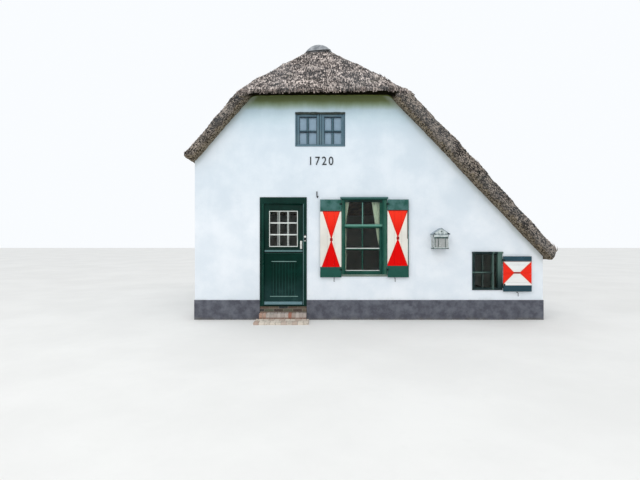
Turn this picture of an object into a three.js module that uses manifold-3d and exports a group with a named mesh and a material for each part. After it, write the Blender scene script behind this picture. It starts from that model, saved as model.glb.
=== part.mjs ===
// Thatched cottage: a hollow masonry house under a half-hipped reed roof, in millimetres.
// X runs to the right along the facade, Y into the house and Z up. The origin lies on the
// ground under the ridge, halfway between the front and the back wall.

import * as THREE from 'three';
import { mergeVertices } from 'three/addons/utils/BufferGeometryUtils.js';
import Module from 'manifold-3d';

// Masonry
const houseLeft = -2750;
const houseRight = 4980;
const houseDepth = 9000;
const wallThickness = 300;
const plinthTop = 437;
const plinthProud = 12;
const floorTop = 300;
const headLine = 2720;
const atticFloor = [2820, 2970];
const hatch = { x: [-2200, -1300], y: [1500, 2500] };
const touch = 0.3;

// Roof section in X and Z: the reed's upper surface from the left eave over the ridge to the
// right eave, and the two straight soffits under it. The reed is dressed in courses, with a
// shallow hollow between two course lines.
const ridgeReed = [[-350, 6740], [0, 6885], [350, 6740]];
const leftReed = [[-2985, 3618], [-2290, 4418], [-1875, 4950], [-1450, 5490], [-900, 6130]];
const rightReed = [[1000, 6120], [1500, 5590], [1950, 5050], [2120, 4885], [3000, 3975], [5200, 1570]];
const course = { length: 930, hollow: 28 };
const leftFoot = [-2750, 3521];
const rightFoot = [5100, 1300];
const leftSoffitPitch = 1.15;
const leftSoffitRise = 6684;
const rightSoffitPitch = 1.045;
const rightSoffitRise = 6630;
const vergeOverhang = 200;
const hipOverhang = 250;
const hipEave = 4985;
const hipPitch = 0.849;
const hipReedRise = 367;
const ridgeCap = { halfWidth: 350, halfLength: 2570, radius: 430, top: 6985 };

// Door, in the facade's own coordinates, where Y is 0 on the outer face of the wall
const doorway = { x: [-1307, -264], z: [300, headLine] };
const doorFrame = { front: -15, stopBack: 30, back: 81, jamb: 80, head: 142, sill: 22, rebate: 16 };
const doorGap = 6;
const doorThickness = 45;
const doorSeam = 1490;
const doorGlazing = { x: [-1082, -486], z: [1639, 2399], bar: 24 };
const doorPanel = { x: [-1044, -502], z: [530, 1300], depth: 12 };
const doorRail = { x: [-1200, -360], z: [1505, 1555], front: 8 };
const weatherboard = { x: [-1212, -360], z: [332, 395], front: 8 };
const doorHingeAxis = { x: -1239, y: 90 };
const doorHinges = [620, 1300, 1720, 2420];
const barrel = { radius: 8, length: 50 };
const upperStep = { x: [-1300, -270], y: [-180, -0.3], z: [0, 163] };
const lowerStep = { x: [-1360, -210], y: [-600, -180.3], z: [0, 50] };

// Windows and shutters
const mainWindow = {
  x: [507, 1518], z: [960, headLine], jamb: 70, head: 60, sill: 50, front: -18, back: 100,
};
const windowBoard = { x: [480, 1536], front: -60, z: [2680, 2722] };
const wideJamb = 102;
const mainGlazing = [597, 1356];
const meetingRail = [2050, 2120];
const curtainRail = { y: [90, 160], z: [2640, 2662] };
const smallWindow = { x: [3409, 4076], z: [659, 1503], front: -18, back: 82 };
const smallLights = { left: [3460, 3855], right: [3885, 3975], z: [709, 1453], barZ: 1052 };
const atticWindow = { x: [-522, 589], z: [3846, 4606], jamb: 38, front: -10, back: 70 };
const atticMeeting = 18;
const atticPanes = { left: [[-418, -269], [-216, -51]], right: [[136, 284], [338, 498]] };
const atticRows = [[3903, 4159], [4206, 4488]];
const plainWindow = { ...mainWindow, width: 1011 };
const shutterPlane = [-55, -25];
const shutterEdge = 12;
const mainShutter = { z: [945, 2665], width: 470, leftAxis: 515, rightAxis: 1510 };
const mainShutterHinges = [1090, 2540];
const smallShutter = { z: [630, 1410], width: 625, axis: 4070 };
const smallShutterHinges = [760, 1300];
const rebateDepth = 12;
const paneEdge = 8;
const glassThickness = 4;

// Wall lantern
const lantern = {
  x: [2500, 2830], depth: 200, eaves: [2475, 2865], z: [1575, 1890], apex: [2670, 2030],
};

const wasm = await Module();
wasm.setup();

const facadeY = -houseDepth / 2;
const innerFront = facadeY + wallThickness;
const reedTop = [...leftReed, ...ridgeReed, ...rightReed];

const materials = {
  lime: new THREE.MeshStandardMaterial({ color: 0xdfe8ee, roughness: 0.9 }),
  reed: new THREE.MeshStandardMaterial({ color: 0x7d6f66, roughness: 1.0 }),
  cap: new THREE.MeshStandardMaterial({ color: 0x9aa0a2, roughness: 0.85 }),
  green: new THREE.MeshStandardMaterial({ color: 0x1d4a3e, roughness: 0.45 }),
  darkGreen: new THREE.MeshStandardMaterial({ color: 0x0f3a36, roughness: 0.4 }),
  greyGreen: new THREE.MeshStandardMaterial({ color: 0x4f6b6c, roughness: 0.5 }),
  red: new THREE.MeshStandardMaterial({ color: 0xd8281c, roughness: 0.45 }),
  brick: new THREE.MeshStandardMaterial({ color: 0x8a5a48, roughness: 0.9 }),
  wood: new THREE.MeshStandardMaterial({ color: 0x8b6f4e, roughness: 0.8 }),
  stone: new THREE.MeshStandardMaterial({ color: 0x8d8a84, roughness: 0.85 }),
  tar: new THREE.MeshStandardMaterial({ color: 0x5a5c68, roughness: 0.85 }),
  zinc: new THREE.MeshStandardMaterial({ color: 0x86928f, roughness: 0.5, metalness: 0.7 }),
  steel: new THREE.MeshStandardMaterial({ color: 0xd5d8d8, roughness: 0.3, metalness: 0.8 }),
  cloth: new THREE.MeshStandardMaterial({ color: 0xdfe6d8, roughness: 0.9 }),
  glass: new THREE.MeshStandardMaterial({
    color: 0xa9bcc4, roughness: 0.05, transparent: true, opacity: 0.4,
  }),
};

// A closed geometry as a solid that can be joined and cut.
function solid(geometry) {
  const bare = geometry.clone();
  bare.deleteAttribute('normal');
  bare.deleteAttribute('uv');
  const merged = mergeVertices(bare, 1e-3);
  return new wasm.Manifold(new wasm.Mesh({
    numProp: 3,
    vertProperties: new Float32Array(merged.attributes.position.array),
    triVerts: new Uint32Array(merged.index.array),
  }));
}

// The geometry of a joined or cut solid.
function geometryOf(body) {
  const { vertProperties, triVerts } = body.getMesh();
  const geometry = new THREE.BufferGeometry();
  geometry.setAttribute('position', new THREE.BufferAttribute(new Float32Array(vertProperties), 3));
  geometry.setIndex(new THREE.BufferAttribute(new Uint32Array(triVerts), 1));
  geometry.computeVertexNormals();
  return geometry;
}

function joined(...geometries) {
  return geometryOf(geometries.map(solid).reduce((sum, next) => sum.add(next)));
}

function cut(geometry, ...tools) {
  return geometryOf(tools.map(solid).reduce((rest, tool) => rest.subtract(tool), solid(geometry)));
}

// A rectangular block from its low and high limits along each axis.
function block(x, y, z) {
  const geometry = new THREE.BoxGeometry(x[1] - x[0], y[1] - y[0], z[1] - z[0]);
  geometry.translate((x[0] + x[1]) / 2, (y[0] + y[1]) / 2, (z[0] + z[1]) / 2);
  return geometry;
}

function path(points, Kind) {
  return new Kind(points.map(([a, b]) => new THREE.Vector2(a, b)));
}

function rectangle(x, z) {
  return [[x[0], z[0]], [x[1], z[0]], [x[1], z[1]], [x[0], z[1]]];
}

// An outline in X and Z, with holes, carried along Y between two limits.
function prism(outline, y, holes = []) {
  const shape = path(outline, THREE.Shape);
  shape.holes = holes.map((hole) => path(hole, THREE.Path));
  const geometry = new THREE.ExtrudeGeometry(shape, { depth: y[1] - y[0], bevelEnabled: false });
  geometry.rotateX(Math.PI / 2);
  geometry.translate(0, y[1], 0);
  return geometry;
}

// A span made narrower at both ends, or wider where the amount is negative.
function shrunk(span, amount) {
  return [span[0] + amount, span[1] - amount];
}

// An upright round bar.
function post(x, y, z, radius) {
  const geometry = new THREE.CylinderGeometry(radius, radius, z[1] - z[0], 12);
  geometry.rotateX(Math.PI / 2);
  geometry.translate(x, y, (z[0] + z[1]) / 2);
  return geometry;
}

const house = new THREE.Group();
const front = new THREE.Group();
front.position.y = facadeY;
house.add(front);

function place(group, name, geometry, material) {
  const mesh = new THREE.Mesh(geometry, material);
  mesh.name = name;
  group.add(mesh);
}

// Soffits as heights over the plan
function leftSoffit(x) {
  return leftSoffitRise + leftSoffitPitch * x;
}

function rightSoffit(x) {
  return rightSoffitRise - rightSoffitPitch * x;
}

// Where the soffits reach a height, a little inside them so that a wall top clears the reed.
function soffitSpan(height) {
  const left = (height - leftSoffitRise) / leftSoffitPitch;
  const right = (rightSoffitRise - height) / rightSoffitPitch;
  return shrunk([left, right], touch * 1.4);
}

// Everything beyond a plane, as one large block to cut with.
function beyond(plane) {
  const size = 30000;
  const geometry = new THREE.BoxGeometry(size, size, size);
  geometry.translate(0, 0, size / 2);
  const up = new THREE.Vector3(0, 0, 1);
  geometry.applyQuaternion(new THREE.Quaternion().setFromUnitVectors(up, plane.normal));
  const foot = plane.coplanarPoint(new THREE.Vector3());
  geometry.translate(foot.x, foot.y, foot.z);
  return solid(geometry);
}

// A plane through three points that faces a fourth, drawn back from it by a clearance.
function planeFacing(a, b, c, outside, clearance = 0) {
  const points = [a, b, c].map((p) => new THREE.Vector3(...p));
  const plane = new THREE.Plane().setFromCoplanarPoints(...points);
  if (plane.distanceToPoint(new THREE.Vector3(...outside)) < 0) plane.negate();
  plane.constant += clearance;
  return plane;
}

const hipLip = houseDepth / 2 + hipOverhang;

// A point on the hip's upper or lower face, at a height, for one end of the house.
function onHip(end, x, height, lower = false) {
  const run = (height - hipEave) / hipPitch + (lower ? hipReedRise / hipPitch : 0);
  return [x, end * (hipLip - run), height];
}

function hipPlane(end, lower) {
  const points = [[-1000, hipEave], [1000, hipEave], [0, 6500]];
  const outside = [0, end * hipLip, 9000];
  return planeFacing(...points.map(([x, z]) => onHip(end, x, z, lower)), outside);
}

// Where one side's reed reaches a height.
function reedEdge(side, height) {
  const points = side === 'left' ? leftReed : rightReed;
  const next = points.findIndex(([, z]) => (side === 'left' ? z > height : z < height));
  const [[x0, z0], [x1, z1]] = [points[next - 1], points[next]];
  return x0 + ((x1 - x0) * (height - z0)) / (z1 - z0);
}

// The reed's upper outline with a hollow in each course.
function dressedReed() {
  const outline = [reedTop[0]];
  for (let i = 1; i < reedTop.length; i += 1) {
    const [[x0, z0], [x1, z1]] = [reedTop[i - 1], reedTop[i]];
    const length = Math.hypot(x1 - x0, z1 - z0);
    const courses = Math.round(length / course.length);
    const sink = [((z1 - z0) / length) * course.hollow, ((x0 - x1) / length) * course.hollow];
    for (let half = 1; half < courses * 2; half += 1) {
      const share = half / (courses * 2);
      const depth = half % 2;
      outline.push([x0 + (x1 - x0) * share + sink[0] * depth, z0 + (z1 - z0) * share + sink[1] * depth]);
    }
    outline.push(reedTop[i]);
  }
  return outline;
}

// The mitre between a slope and a hip, through the corners of both and facing the slope.
function mitre(end, side, clearance) {
  const span = soffitSpan(hipEave);
  const outer = reedEdge(side, hipEave);
  const inner = side === 'left' ? span[0] : span[1];
  const ridge = onHip(end, 0, ridgeReed[1][1]);
  const points = [ridge, onHip(end, outer, hipEave), onHip(end, inner, hipEave, true)];
  const outside = [side === 'left' ? houseLeft : houseRight, 0, hipEave];
  return planeFacing(...points, outside, clearance);
}

// Everything that belongs to the hip at one end: above its eave and between its mitres.
function hipZone(end, grow) {
  const floor = hipEave - Math.max(grow, 0) * 2;
  let zone = solid(block([-6000, 6000], end < 0 ? [-6000, 0] : [0, 6000], [floor, 8000]));
  for (const side of ['left', 'right']) zone = zone.subtract(beyond(mitre(end, side, -grow)));
  return zone;
}

// The whole reed covering as one shell, before it is parted into slopes and hips.
function reedShell() {
  const peak = (leftSoffitRise - rightSoffitRise) / -(leftSoffitPitch + rightSoffitPitch);
  const outline = dressedReed();
  const section = [leftFoot, ...outline, rightFoot, [peak, leftSoffit(peak)]].reverse();
  const verge = houseDepth / 2 + vergeOverhang;
  let shell = solid(prism(section, [-verge, verge]));
  const envelope = solid(prism([...outline].reverse(), [-hipLip, hipLip]));
  const aboveEave = solid(block([-9000, 9000], [-9000, 9000], [hipEave, 9000]));
  for (const end of [-1, 1]) {
    const outside = beyond(hipPlane(end, false));
    const hip = envelope.intersect(aboveEave).subtract(outside).intersect(beyond(hipPlane(end, true)));
    shell = shell.subtract(outside.intersect(aboveEave)).add(hip);
  }
  return shell;
}

// Hips first, then the rest of the shell parted along the ridge.
function thatch() {
  const shell = reedShell();
  const ends = { thatch_front_hip: -1, thatch_back_hip: 1 };
  let slopes = shell;
  for (const [name, end] of Object.entries(ends)) {
    place(house, name, geometryOf(shell.intersect(hipZone(end, -touch / 2))), materials.reed);
    slopes = slopes.subtract(hipZone(end, touch / 2));
  }
  const left = solid(block([-9000, -touch / 2], [-9000, 9000], [0, 9000]));
  const right = solid(block([touch / 2, 9000], [-9000, 9000], [0, 9000]));
  place(house, 'thatch_left_slope', geometryOf(slopes.intersect(left)), materials.reed);
  place(house, 'thatch_right_slope', geometryOf(slopes.intersect(right)), materials.reed);
}

// A rounded cap bedded on the reed along the ridge, a little longer than the ridge itself.
function capOverRidge() {
  const { halfWidth, halfLength, radius, top } = ridgeCap;
  const halfAngle = Math.asin(halfWidth / radius);
  const steps = 14;
  const outline = [];
  for (let i = 0; i <= steps; i += 1) {
    const angle = halfAngle * (1 - (2 * i) / steps);
    outline.push([radius * Math.sin(angle), top - radius + radius * Math.cos(angle)]);
  }
  const bed = ridgeReed.map(([x, z]) => [x, z + touch]);
  return prism([...outline, ...bed], [-halfLength, halfLength]);
}

// Masonry

const wallFoot = plinthTop + touch;

function gableOutline() {
  const [left, right] = soffitSpan(hipEave);
  const base = headLine + touch;
  return [
    [houseLeft, base],
    [soffitSpan(base)[1], base],
    [right, hipEave - touch],
    [left, hipEave - touch],
    [houseLeft, leftSoffit(houseLeft) - touch * 2],
  ];
}

// The end wall below the head line, with a notch for each window that reaches that line.
function lowOutline(left, notches) {
  const corner = rightSoffit(houseRight) - touch * 2;
  const outline = [[left, wallFoot], [houseRight, wallFoot], [houseRight, corner]];
  outline.push([soffitSpan(headLine)[1], headLine]);
  for (const { x, z } of notches) {
    outline.push([x[1], headLine], [x[1], z[0]], [x[0], z[0]], [x[0], headLine]);
  }
  outline.push([left, headLine]);
  return outline;
}

function frontWalls() {
  const depth = [0, wallThickness];
  const leftX = [houseLeft, doorway.x[0] - touch];
  place(front, 'front_wall_left', block(leftX, depth, [wallFoot, headLine]), materials.lime);
  const right = lowOutline(doorway.x[1] + touch, [mainWindow]);
  const lowHole = rectangle(smallWindow.x, smallWindow.z);
  place(front, 'front_wall_right', prism(right, depth, [lowHole]), materials.lime);
  const atticHole = rectangle(atticWindow.x, atticWindow.z);
  place(front, 'front_gable', prism(gableOutline(), depth, [atticHole]), materials.lime);
  const sill = block(shrunk(doorway.x, touch), depth, [0, doorway.z[0] - touch]);
  place(front, 'door_threshold', sill, materials.brick);
}

const backWindow = { x: [-plainWindow.width / 2, plainWindow.width / 2], z: plainWindow.z };
const sideWindowY = [-2295, 2295];

function otherWalls() {
  const depth = [-innerFront, -facadeY];
  const lowHole = rectangle(smallWindow.x, smallWindow.z);
  place(house, 'back_wall', prism(lowOutline(houseLeft, [backWindow]), depth, [lowHole]), materials.lime);
  const atticHole = rectangle(atticWindow.x, atticWindow.z);
  place(house, 'back_gable', prism(gableOutline(), depth, [atticHole]), materials.lime);
  const inner = houseLeft + wallThickness;
  const highTop = [
    [houseLeft, wallFoot],
    [inner, wallFoot],
    [inner, leftSoffit(inner) - touch * 2],
    [houseLeft, leftSoffit(houseLeft) - touch * 2],
  ];
  const openings = sideWindowY.map((y) => {
    const half = plainWindow.width / 2;
    return block([houseLeft - 10, inner + 10], [y - half, y + half], plainWindow.z);
  });
  const length = shrunk([innerFront, -innerFront], touch);
  place(house, 'left_wall', cut(prism(highTop, length), ...openings), materials.lime);
  const low = houseRight - wallThickness;
  const lowTop = [
    [low, wallFoot],
    [houseRight, wallFoot],
    [houseRight, rightSoffit(houseRight) - touch * 2],
    [low, rightSoffit(low) - touch * 2],
  ];
  place(house, 'right_wall', prism(lowTop, length), materials.lime);
}

// The tarred foot of every wall stands a little proud of the lime above it.
function plinths() {
  const outer = [houseLeft - plinthProud, houseRight + plinthProud];
  const end = [facadeY - plinthProud, innerFront];
  const z = [0, plinthTop];
  const doorLeft = doorway.x[0] - touch;
  const doorRight = doorway.x[1] + touch;
  place(house, 'plinth_front_left', block([outer[0], doorLeft], end, z), materials.tar);
  place(house, 'plinth_front_right', block([doorRight, outer[1]], end, z), materials.tar);
  place(house, 'plinth_back', block(outer, [-end[1], -end[0]], z), materials.tar);
  const side = shrunk([innerFront, -innerFront], touch);
  place(house, 'plinth_left', block([outer[0], houseLeft + wallThickness], side, z), materials.tar);
  place(house, 'plinth_right', block([houseRight - wallThickness, outer[1]], side, z), materials.tar);
}

function floors() {
  const x = shrunk([houseLeft + wallThickness, houseRight - wallThickness], touch);
  const y = shrunk([innerFront, -innerFront], touch);
  place(house, 'ground_floor', block(x, y, [0, floorTop]), materials.stone);
  const upper = [x[0], soffitSpan(atticFloor[1])[1]];
  const opening = block(hatch.x, hatch.y, shrunk(atticFloor, -10));
  place(house, 'attic_floor', cut(block(upper, y, atticFloor), opening), materials.wood);
}

function steps() {
  place(front, 'upper_step', block(upperStep.x, upperStep.y, upperStep.z), materials.brick);
  place(front, 'lower_step', block(lowerStep.x, lowerStep.y, lowerStep.z), materials.brick);
}

// Hinges: a lower barrel on the frame carries an upper barrel on the leaf

function frameBarrel(axis, z, arm) {
  const round = post(axis.x, axis.y, [z - barrel.length, z - touch / 2], barrel.radius);
  return [round, block(arm.x, arm.y, [z - barrel.length, z - touch / 2])];
}

function leafBarrel(axis, z, arm) {
  const round = post(axis.x, axis.y, [z + touch / 2, z + barrel.length], barrel.radius);
  return [round, block(arm.x, arm.y, [z + touch / 2, z + barrel.length])];
}

// The panes of an even grid of bars.
function paneGrid({ x, z }, columns, rows, bar) {
  const width = (x[1] - x[0] - bar * (columns - 1)) / columns;
  const height = (z[1] - z[0] - bar * (rows - 1)) / rows;
  const panes = [];
  for (let column = 0; column < columns; column += 1) {
    for (let row = 0; row < rows; row += 1) {
      const left = x[0] + column * (width + bar);
      const low = z[0] + row * (height + bar);
      panes.push({ x: [left, left + width], z: [low, low + height] });
    }
  }
  return panes;
}

// A wooden leaf with a hole for each pane, and the sheet of glass in the rebate at its back.
function glazedLeaf({ x, z, y, panes }) {
  const through = shrunk(y, -5);
  const holes = panes.map((pane) => block(pane.x, through, pane.z));
  const reach = (axis) => {
    const ends = panes.flatMap((pane) => pane[axis]);
    return shrunk([Math.min(...ends), Math.max(...ends)], -paneEdge);
  };
  const rebateX = reach('x');
  const rebateZ = reach('z');
  const rebateFront = y[1] - rebateDepth;
  const rebate = block(rebateX, [rebateFront, y[1] + 5], rebateZ);
  const glassY = [rebateFront + touch, rebateFront + touch + glassThickness];
  return {
    wood: cut(block(x, y, z), ...holes, rebate),
    glass: block(shrunk(rebateX, touch), glassY, shrunk(rebateZ, touch)),
  };
}

// A four-sided frame seated in its opening.
function ring(x, z, y, jamb, head, sill) {
  const inner = block(shrunk(x, jamb), shrunk(y, -5), [z[0] + sill, z[1] - head]);
  return cut(block(shrunk(x, touch), y, shrunk(z, touch)), inner);
}

// Door

function door() {
  const { front: face, stopBack, back, jamb, head, sill, rebate } = doorFrame;
  const stop = ring(doorway.x, doorway.z, [face, stopBack], jamb, head, sill);
  const deep = [stopBack - 1, back];
  const carrier = ring(doorway.x, doorway.z, deep, jamb - rebate, head - rebate, sill);
  const leafX = [doorway.x[0] + jamb - rebate + doorGap, doorway.x[1] - jamb + rebate - doorGap - 2];
  const leafZ = [doorway.z[0] + sill + doorGap, doorway.z[1] - head + rebate - doorGap];
  const leafY = [back - doorThickness, back];
  const plate = [back - 3, back + 5];
  const frameArm = { x: [doorHingeAxis.x - 40, doorHingeAxis.x], y: plate };
  const leafArm = { x: [doorHingeAxis.x, doorHingeAxis.x + 60], y: plate };
  const pins = doorHinges.flatMap((z) => frameBarrel(doorHingeAxis, z, frameArm));
  place(front, 'door_frame', joined(stop, carrier, ...pins), materials.darkGreen);

  const upperZ = [doorSeam + doorGap / 2, leafZ[1]];
  const panes = paneGrid(doorGlazing, 3, 3, doorGlazing.bar);
  const upper = glazedLeaf({ x: leafX, z: upperZ, y: leafY, panes });
  const rail = block(doorRail.x, [doorRail.front, leafY[0] + 2], doorRail.z);
  const upperBarrels = doorHinges.slice(2).flatMap((z) => leafBarrel(doorHingeAxis, z, leafArm));
  place(front, 'upper_door', joined(upper.wood, rail, ...upperBarrels), materials.darkGreen);
  place(front, 'upper_door_glass', upper.glass, materials.glass);

  const lowerZ = [leafZ[0], doorSeam - doorGap / 2];
  const field = block(doorPanel.x, [leafY[0] - 5, leafY[0] + doorPanel.depth], doorPanel.z);
  const leaf = cut(block(leafX, leafY, lowerZ), field);
  const board = block(weatherboard.x, [weatherboard.front, leafY[0] + 2], weatherboard.z);
  const lowerBarrels = doorHinges.slice(0, 2).flatMap((z) => leafBarrel(doorHingeAxis, z, leafArm));
  place(front, 'lower_door', joined(leaf, board, ...lowerBarrels), materials.darkGreen);
  doorFittings(leafY[0]);
}

// A long plate with a small knob on the upper leaf, and a bell on the right-hand post.
function doorFittings(face) {
  const plate = block([-413, -367], [face - 8, face - touch], [1570, 1750]);
  const neck = new THREE.CylinderGeometry(9, 9, 46, 12);
  neck.translate(-390, face - 30, 1690);
  const knob = new THREE.CylinderGeometry(19, 16, 20, 24);
  knob.translate(-390, face - 50, 1690);
  place(front, 'door_handle', joined(plate, neck, knob), materials.steel);
  const bellFace = doorFrame.front - 14;
  const bell = block([-322, -280], [bellFace, doorFrame.front - touch], [1755, 1900]);
  const button = new THREE.CylinderGeometry(14, 14, 22, 16);
  button.translate(-301, bellFace, 1860);
  place(front, 'doorbell', joined(bell, button), materials.steel);
}

// Main window: two sliding sashes in a deep frame, whose right-hand jamb is the wider one

function shutterPins(axes, heights, frameFront) {
  const y = (shutterPlane[0] + shutterPlane[1]) / 2;
  return axes.flatMap((x) => heights.flatMap((z) => {
    const arm = { x: [x - 5, x + 5], y: [y, frameFront + 2] };
    return frameBarrel({ x, y }, z, arm);
  }));
}

function mainWindowParts() {
  const { x, z, jamb, head, sill, front: face, back } = mainWindow;
  const frame = ring(x, z, [face, back], jamb, head, sill);
  const pins = shutterPins([mainShutter.leftAxis, mainShutter.rightAxis], mainShutterHinges, face);
  const rail = block(shrunk(x, jamb - 7), curtainRail.y, curtainRail.z);
  const lining = block(
    [x[1] - wideJamb, x[1] - jamb + 2], [face, back], [z[0] + sill - 2, z[1] - head + 2],
  );
  place(front, 'main_window_frame', joined(frame, lining, rail, ...pins), materials.green);
  const board = block(windowBoard.x, [windowBoard.front, face - touch], windowBoard.z);
  place(front, 'main_window_head', board, materials.green);

  const sashX = [x[0] + jamb + touch, x[1] - wideJamb - touch];
  const upper = glazedLeaf({
    x: sashX,
    z: [meetingRail[0], z[1] - head - touch],
    y: [10, 45],
    panes: paneGrid({ x: mainGlazing, z: [meetingRail[1], z[1] - head - 48] }, 2, 1, 24),
  });
  place(front, 'upper_sash', upper.wood, materials.green);
  place(front, 'upper_sash_glass', upper.glass, materials.glass);
  const lower = glazedLeaf({
    x: sashX,
    z: [z[0] + sill + touch, meetingRail[1] - 30],
    y: [48, 83],
    panes: paneGrid({ x: mainGlazing, z: [1095, meetingRail[0] - 16] }, 2, 2, 24),
  });
  place(front, 'lower_sash', lower.wood, materials.green);
  place(front, 'lower_sash_glass', lower.glass, materials.glass);
}

// Each curtain hangs under the rail, drawn aside, and falls behind the stile.
function curtains() {
  const top = curtainRail.z[0] - touch;
  const depth = [120, 150];
  const right = [[1390, 1030], [1436, 1030], [1436, top], [1190, top], [1330, 1752], [1390, 1560]];
  const left = [[586, 1030], [622, 1030], [626, 2230], [690, top], [586, top]];
  place(front, 'curtain_right', prism(right.reverse(), depth), materials.cloth);
  place(front, 'curtain_left', prism(left, depth), materials.cloth);
}

// Shutters stand open flat against the wall and close over the window.
function shutter(name, axisX, direction, { width, z }, heights) {
  const y = (shutterPlane[0] + shutterPlane[1]) / 2;
  const span = (from, to) => [axisX + direction * from, axisX + direction * to].sort((a, b) => a - b);
  const leaf = block(span(shutterEdge, shutterEdge + width), shutterPlane, z);
  const arm = { x: span(0, shutterEdge + 4), y: [y - 4, y + 4] };
  const straps = heights.flatMap((height) => leafBarrel({ x: axisX, y }, height, arm));
  place(front, name, joined(leaf, ...straps), materials.red);
}

function shutters() {
  shutter('left_shutter', mainShutter.leftAxis, -1, mainShutter, mainShutterHinges);
  shutter('right_shutter', mainShutter.rightAxis, 1, mainShutter, mainShutterHinges);
  shutter('small_shutter', smallShutter.axis, 1, smallShutter, smallShutterHinges);
}

// Small window: one frame with a wide and a narrow light, under a drip
function smallWindowParts(group, name, axes) {
  const { x, z, front: face, back } = smallWindow;
  const { left, right, z: height, barZ } = smallLights;
  const panes = [
    { x: left, z: [height[0], barZ - 12] },
    { x: left, z: [barZ + 12, height[1]] },
    { x: right, z: height },
  ];
  const unit = glazedLeaf({ x: shrunk(x, touch), z: shrunk(z, touch), y: [face, back], panes });
  const pins = shutterPins(axes, smallShutterHinges, face);
  const drip = block([x[0] - 10, x[1] + 10], [-40, face + 2], [z[1] - 34, z[1] + 6]);
  place(group, `${name}_frame`, joined(unit.wood, drip, ...pins), materials.darkGreen);
  place(group, `${name}_glass`, unit.glass, materials.glass);
}

function atticGrid(side) {
  return atticPanes[side].flatMap((x) => atticRows.map((z) => ({ x, z })));
}

// Attic window: a pair of casements in one slim frame
function atticWindowParts() {
  const { x, z, jamb, front: face, back } = atticWindow;
  const frame = ring(x, z, [face, back], jamb, jamb, jamb);
  place(front, 'attic_window_frame', frame, materials.greyGreen);
  const leafZ = shrunk(z, jamb + touch);
  const spans = {
    left: [x[0] + jamb + touch, atticMeeting - touch / 2],
    right: [atticMeeting + touch / 2, x[1] - jamb - touch],
  };
  for (const [side, span] of Object.entries(spans)) {
    const casement = glazedLeaf({ x: span, z: leafZ, y: [5, 40], panes: atticGrid(side) });
    place(front, `attic_${side}_casement`, casement.wood, materials.greyGreen);
    place(front, `attic_${side}_glass`, casement.glass, materials.glass);
  }
}

// Windows of the sides that are not the facade: one frame with its bars, and its glass
function plainWindowParts(group, name, centre) {
  const { width, z, jamb, head, sill, front: face, back } = plainWindow;
  const x = [centre - width / 2, centre + width / 2];
  const glazing = { x: shrunk(x, jamb + 52), z: [1095, z[1] - head - 48] };
  const unit = glazedLeaf({
    x: shrunk(x, touch),
    z: shrunk(z, touch),
    y: [10, back],
    panes: paneGrid(glazing, 2, 3, 24),
  });
  const lip = ring(x, z, [face, 11], jamb, head, sill);
  place(group, `${name}_frame`, joined(unit.wood, lip), materials.green);
  place(group, `${name}_glass`, unit.glass, materials.glass);
}

function unseenWindows() {
  const back = new THREE.Group();
  back.position.y = -facadeY;
  back.rotation.z = Math.PI;
  house.add(back);
  plainWindowParts(back, 'back_window_1', 0);
  const low = new THREE.Group();
  low.position.x = -(smallWindow.x[0] + smallWindow.x[1]);
  back.add(low);
  smallWindowParts(low, 'back_window_2', []);
  const attic = new THREE.Group();
  attic.position.x = -(atticWindow.x[0] + atticWindow.x[1]);
  back.add(attic);
  const unit = glazedLeaf({
    x: shrunk(atticWindow.x, touch),
    z: shrunk(atticWindow.z, touch),
    y: [atticWindow.front, atticWindow.back],
    panes: [...atticGrid('left'), ...atticGrid('right')],
  });
  place(attic, 'back_attic_frame', unit.wood, materials.greyGreen);
  place(attic, 'back_attic_glass', unit.glass, materials.glass);
  sideWindowY.forEach((y, index) => {
    const side = new THREE.Group();
    side.position.set(houseLeft, y, 0);
    side.rotation.z = -Math.PI / 2;
    house.add(side);
    plainWindowParts(side, `side_window_${index + 1}`, 0);
  });
}

// A glazed lantern on the wall, under a small gabled roof that runs out from the wall.
function wallLantern() {
  const { x, depth, eaves, z, apex } = lantern;
  const bar = 14;
  const back = block(x, [-6, -touch], [z[0], z[1] + 2]);
  const base = block(x, [-depth, -touch], [z[0], z[0] + 18]);
  const posts = [];
  for (const postX of [x[0], x[1] - bar]) {
    posts.push(block([postX, postX + bar], [-depth, -depth + bar], [z[0] + 2, z[1] - 2]));
  }
  const plan = block(x, [-depth, -touch], [z[1] - 28, z[1] + 2]);
  const well = block(shrunk(x, bar), [-depth + bar, -6], [z[1] - 40, z[1] - 10]);
  const gable = [[eaves[0], z[1]], [eaves[1], z[1]], [eaves[1], z[1] + 8], apex, [eaves[0], z[1] + 8]];
  const roof = prism(gable, [-depth - 20, -touch]);
  place(front, 'wall_lantern', joined(back, base, cut(plan, well), roof, ...posts), materials.zinc);
}

plinths();
frontWalls();
otherWalls();
floors();
steps();
thatch();
place(house, 'ridge_cap', capOverRidge(), materials.cap);
door();
mainWindowParts();
curtains();
shutters();
smallWindowParts(front, 'small_window', [smallShutter.axis]);
atticWindowParts();
unseenWindows();
wallLantern();

export default house;
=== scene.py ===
import math
import random

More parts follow.
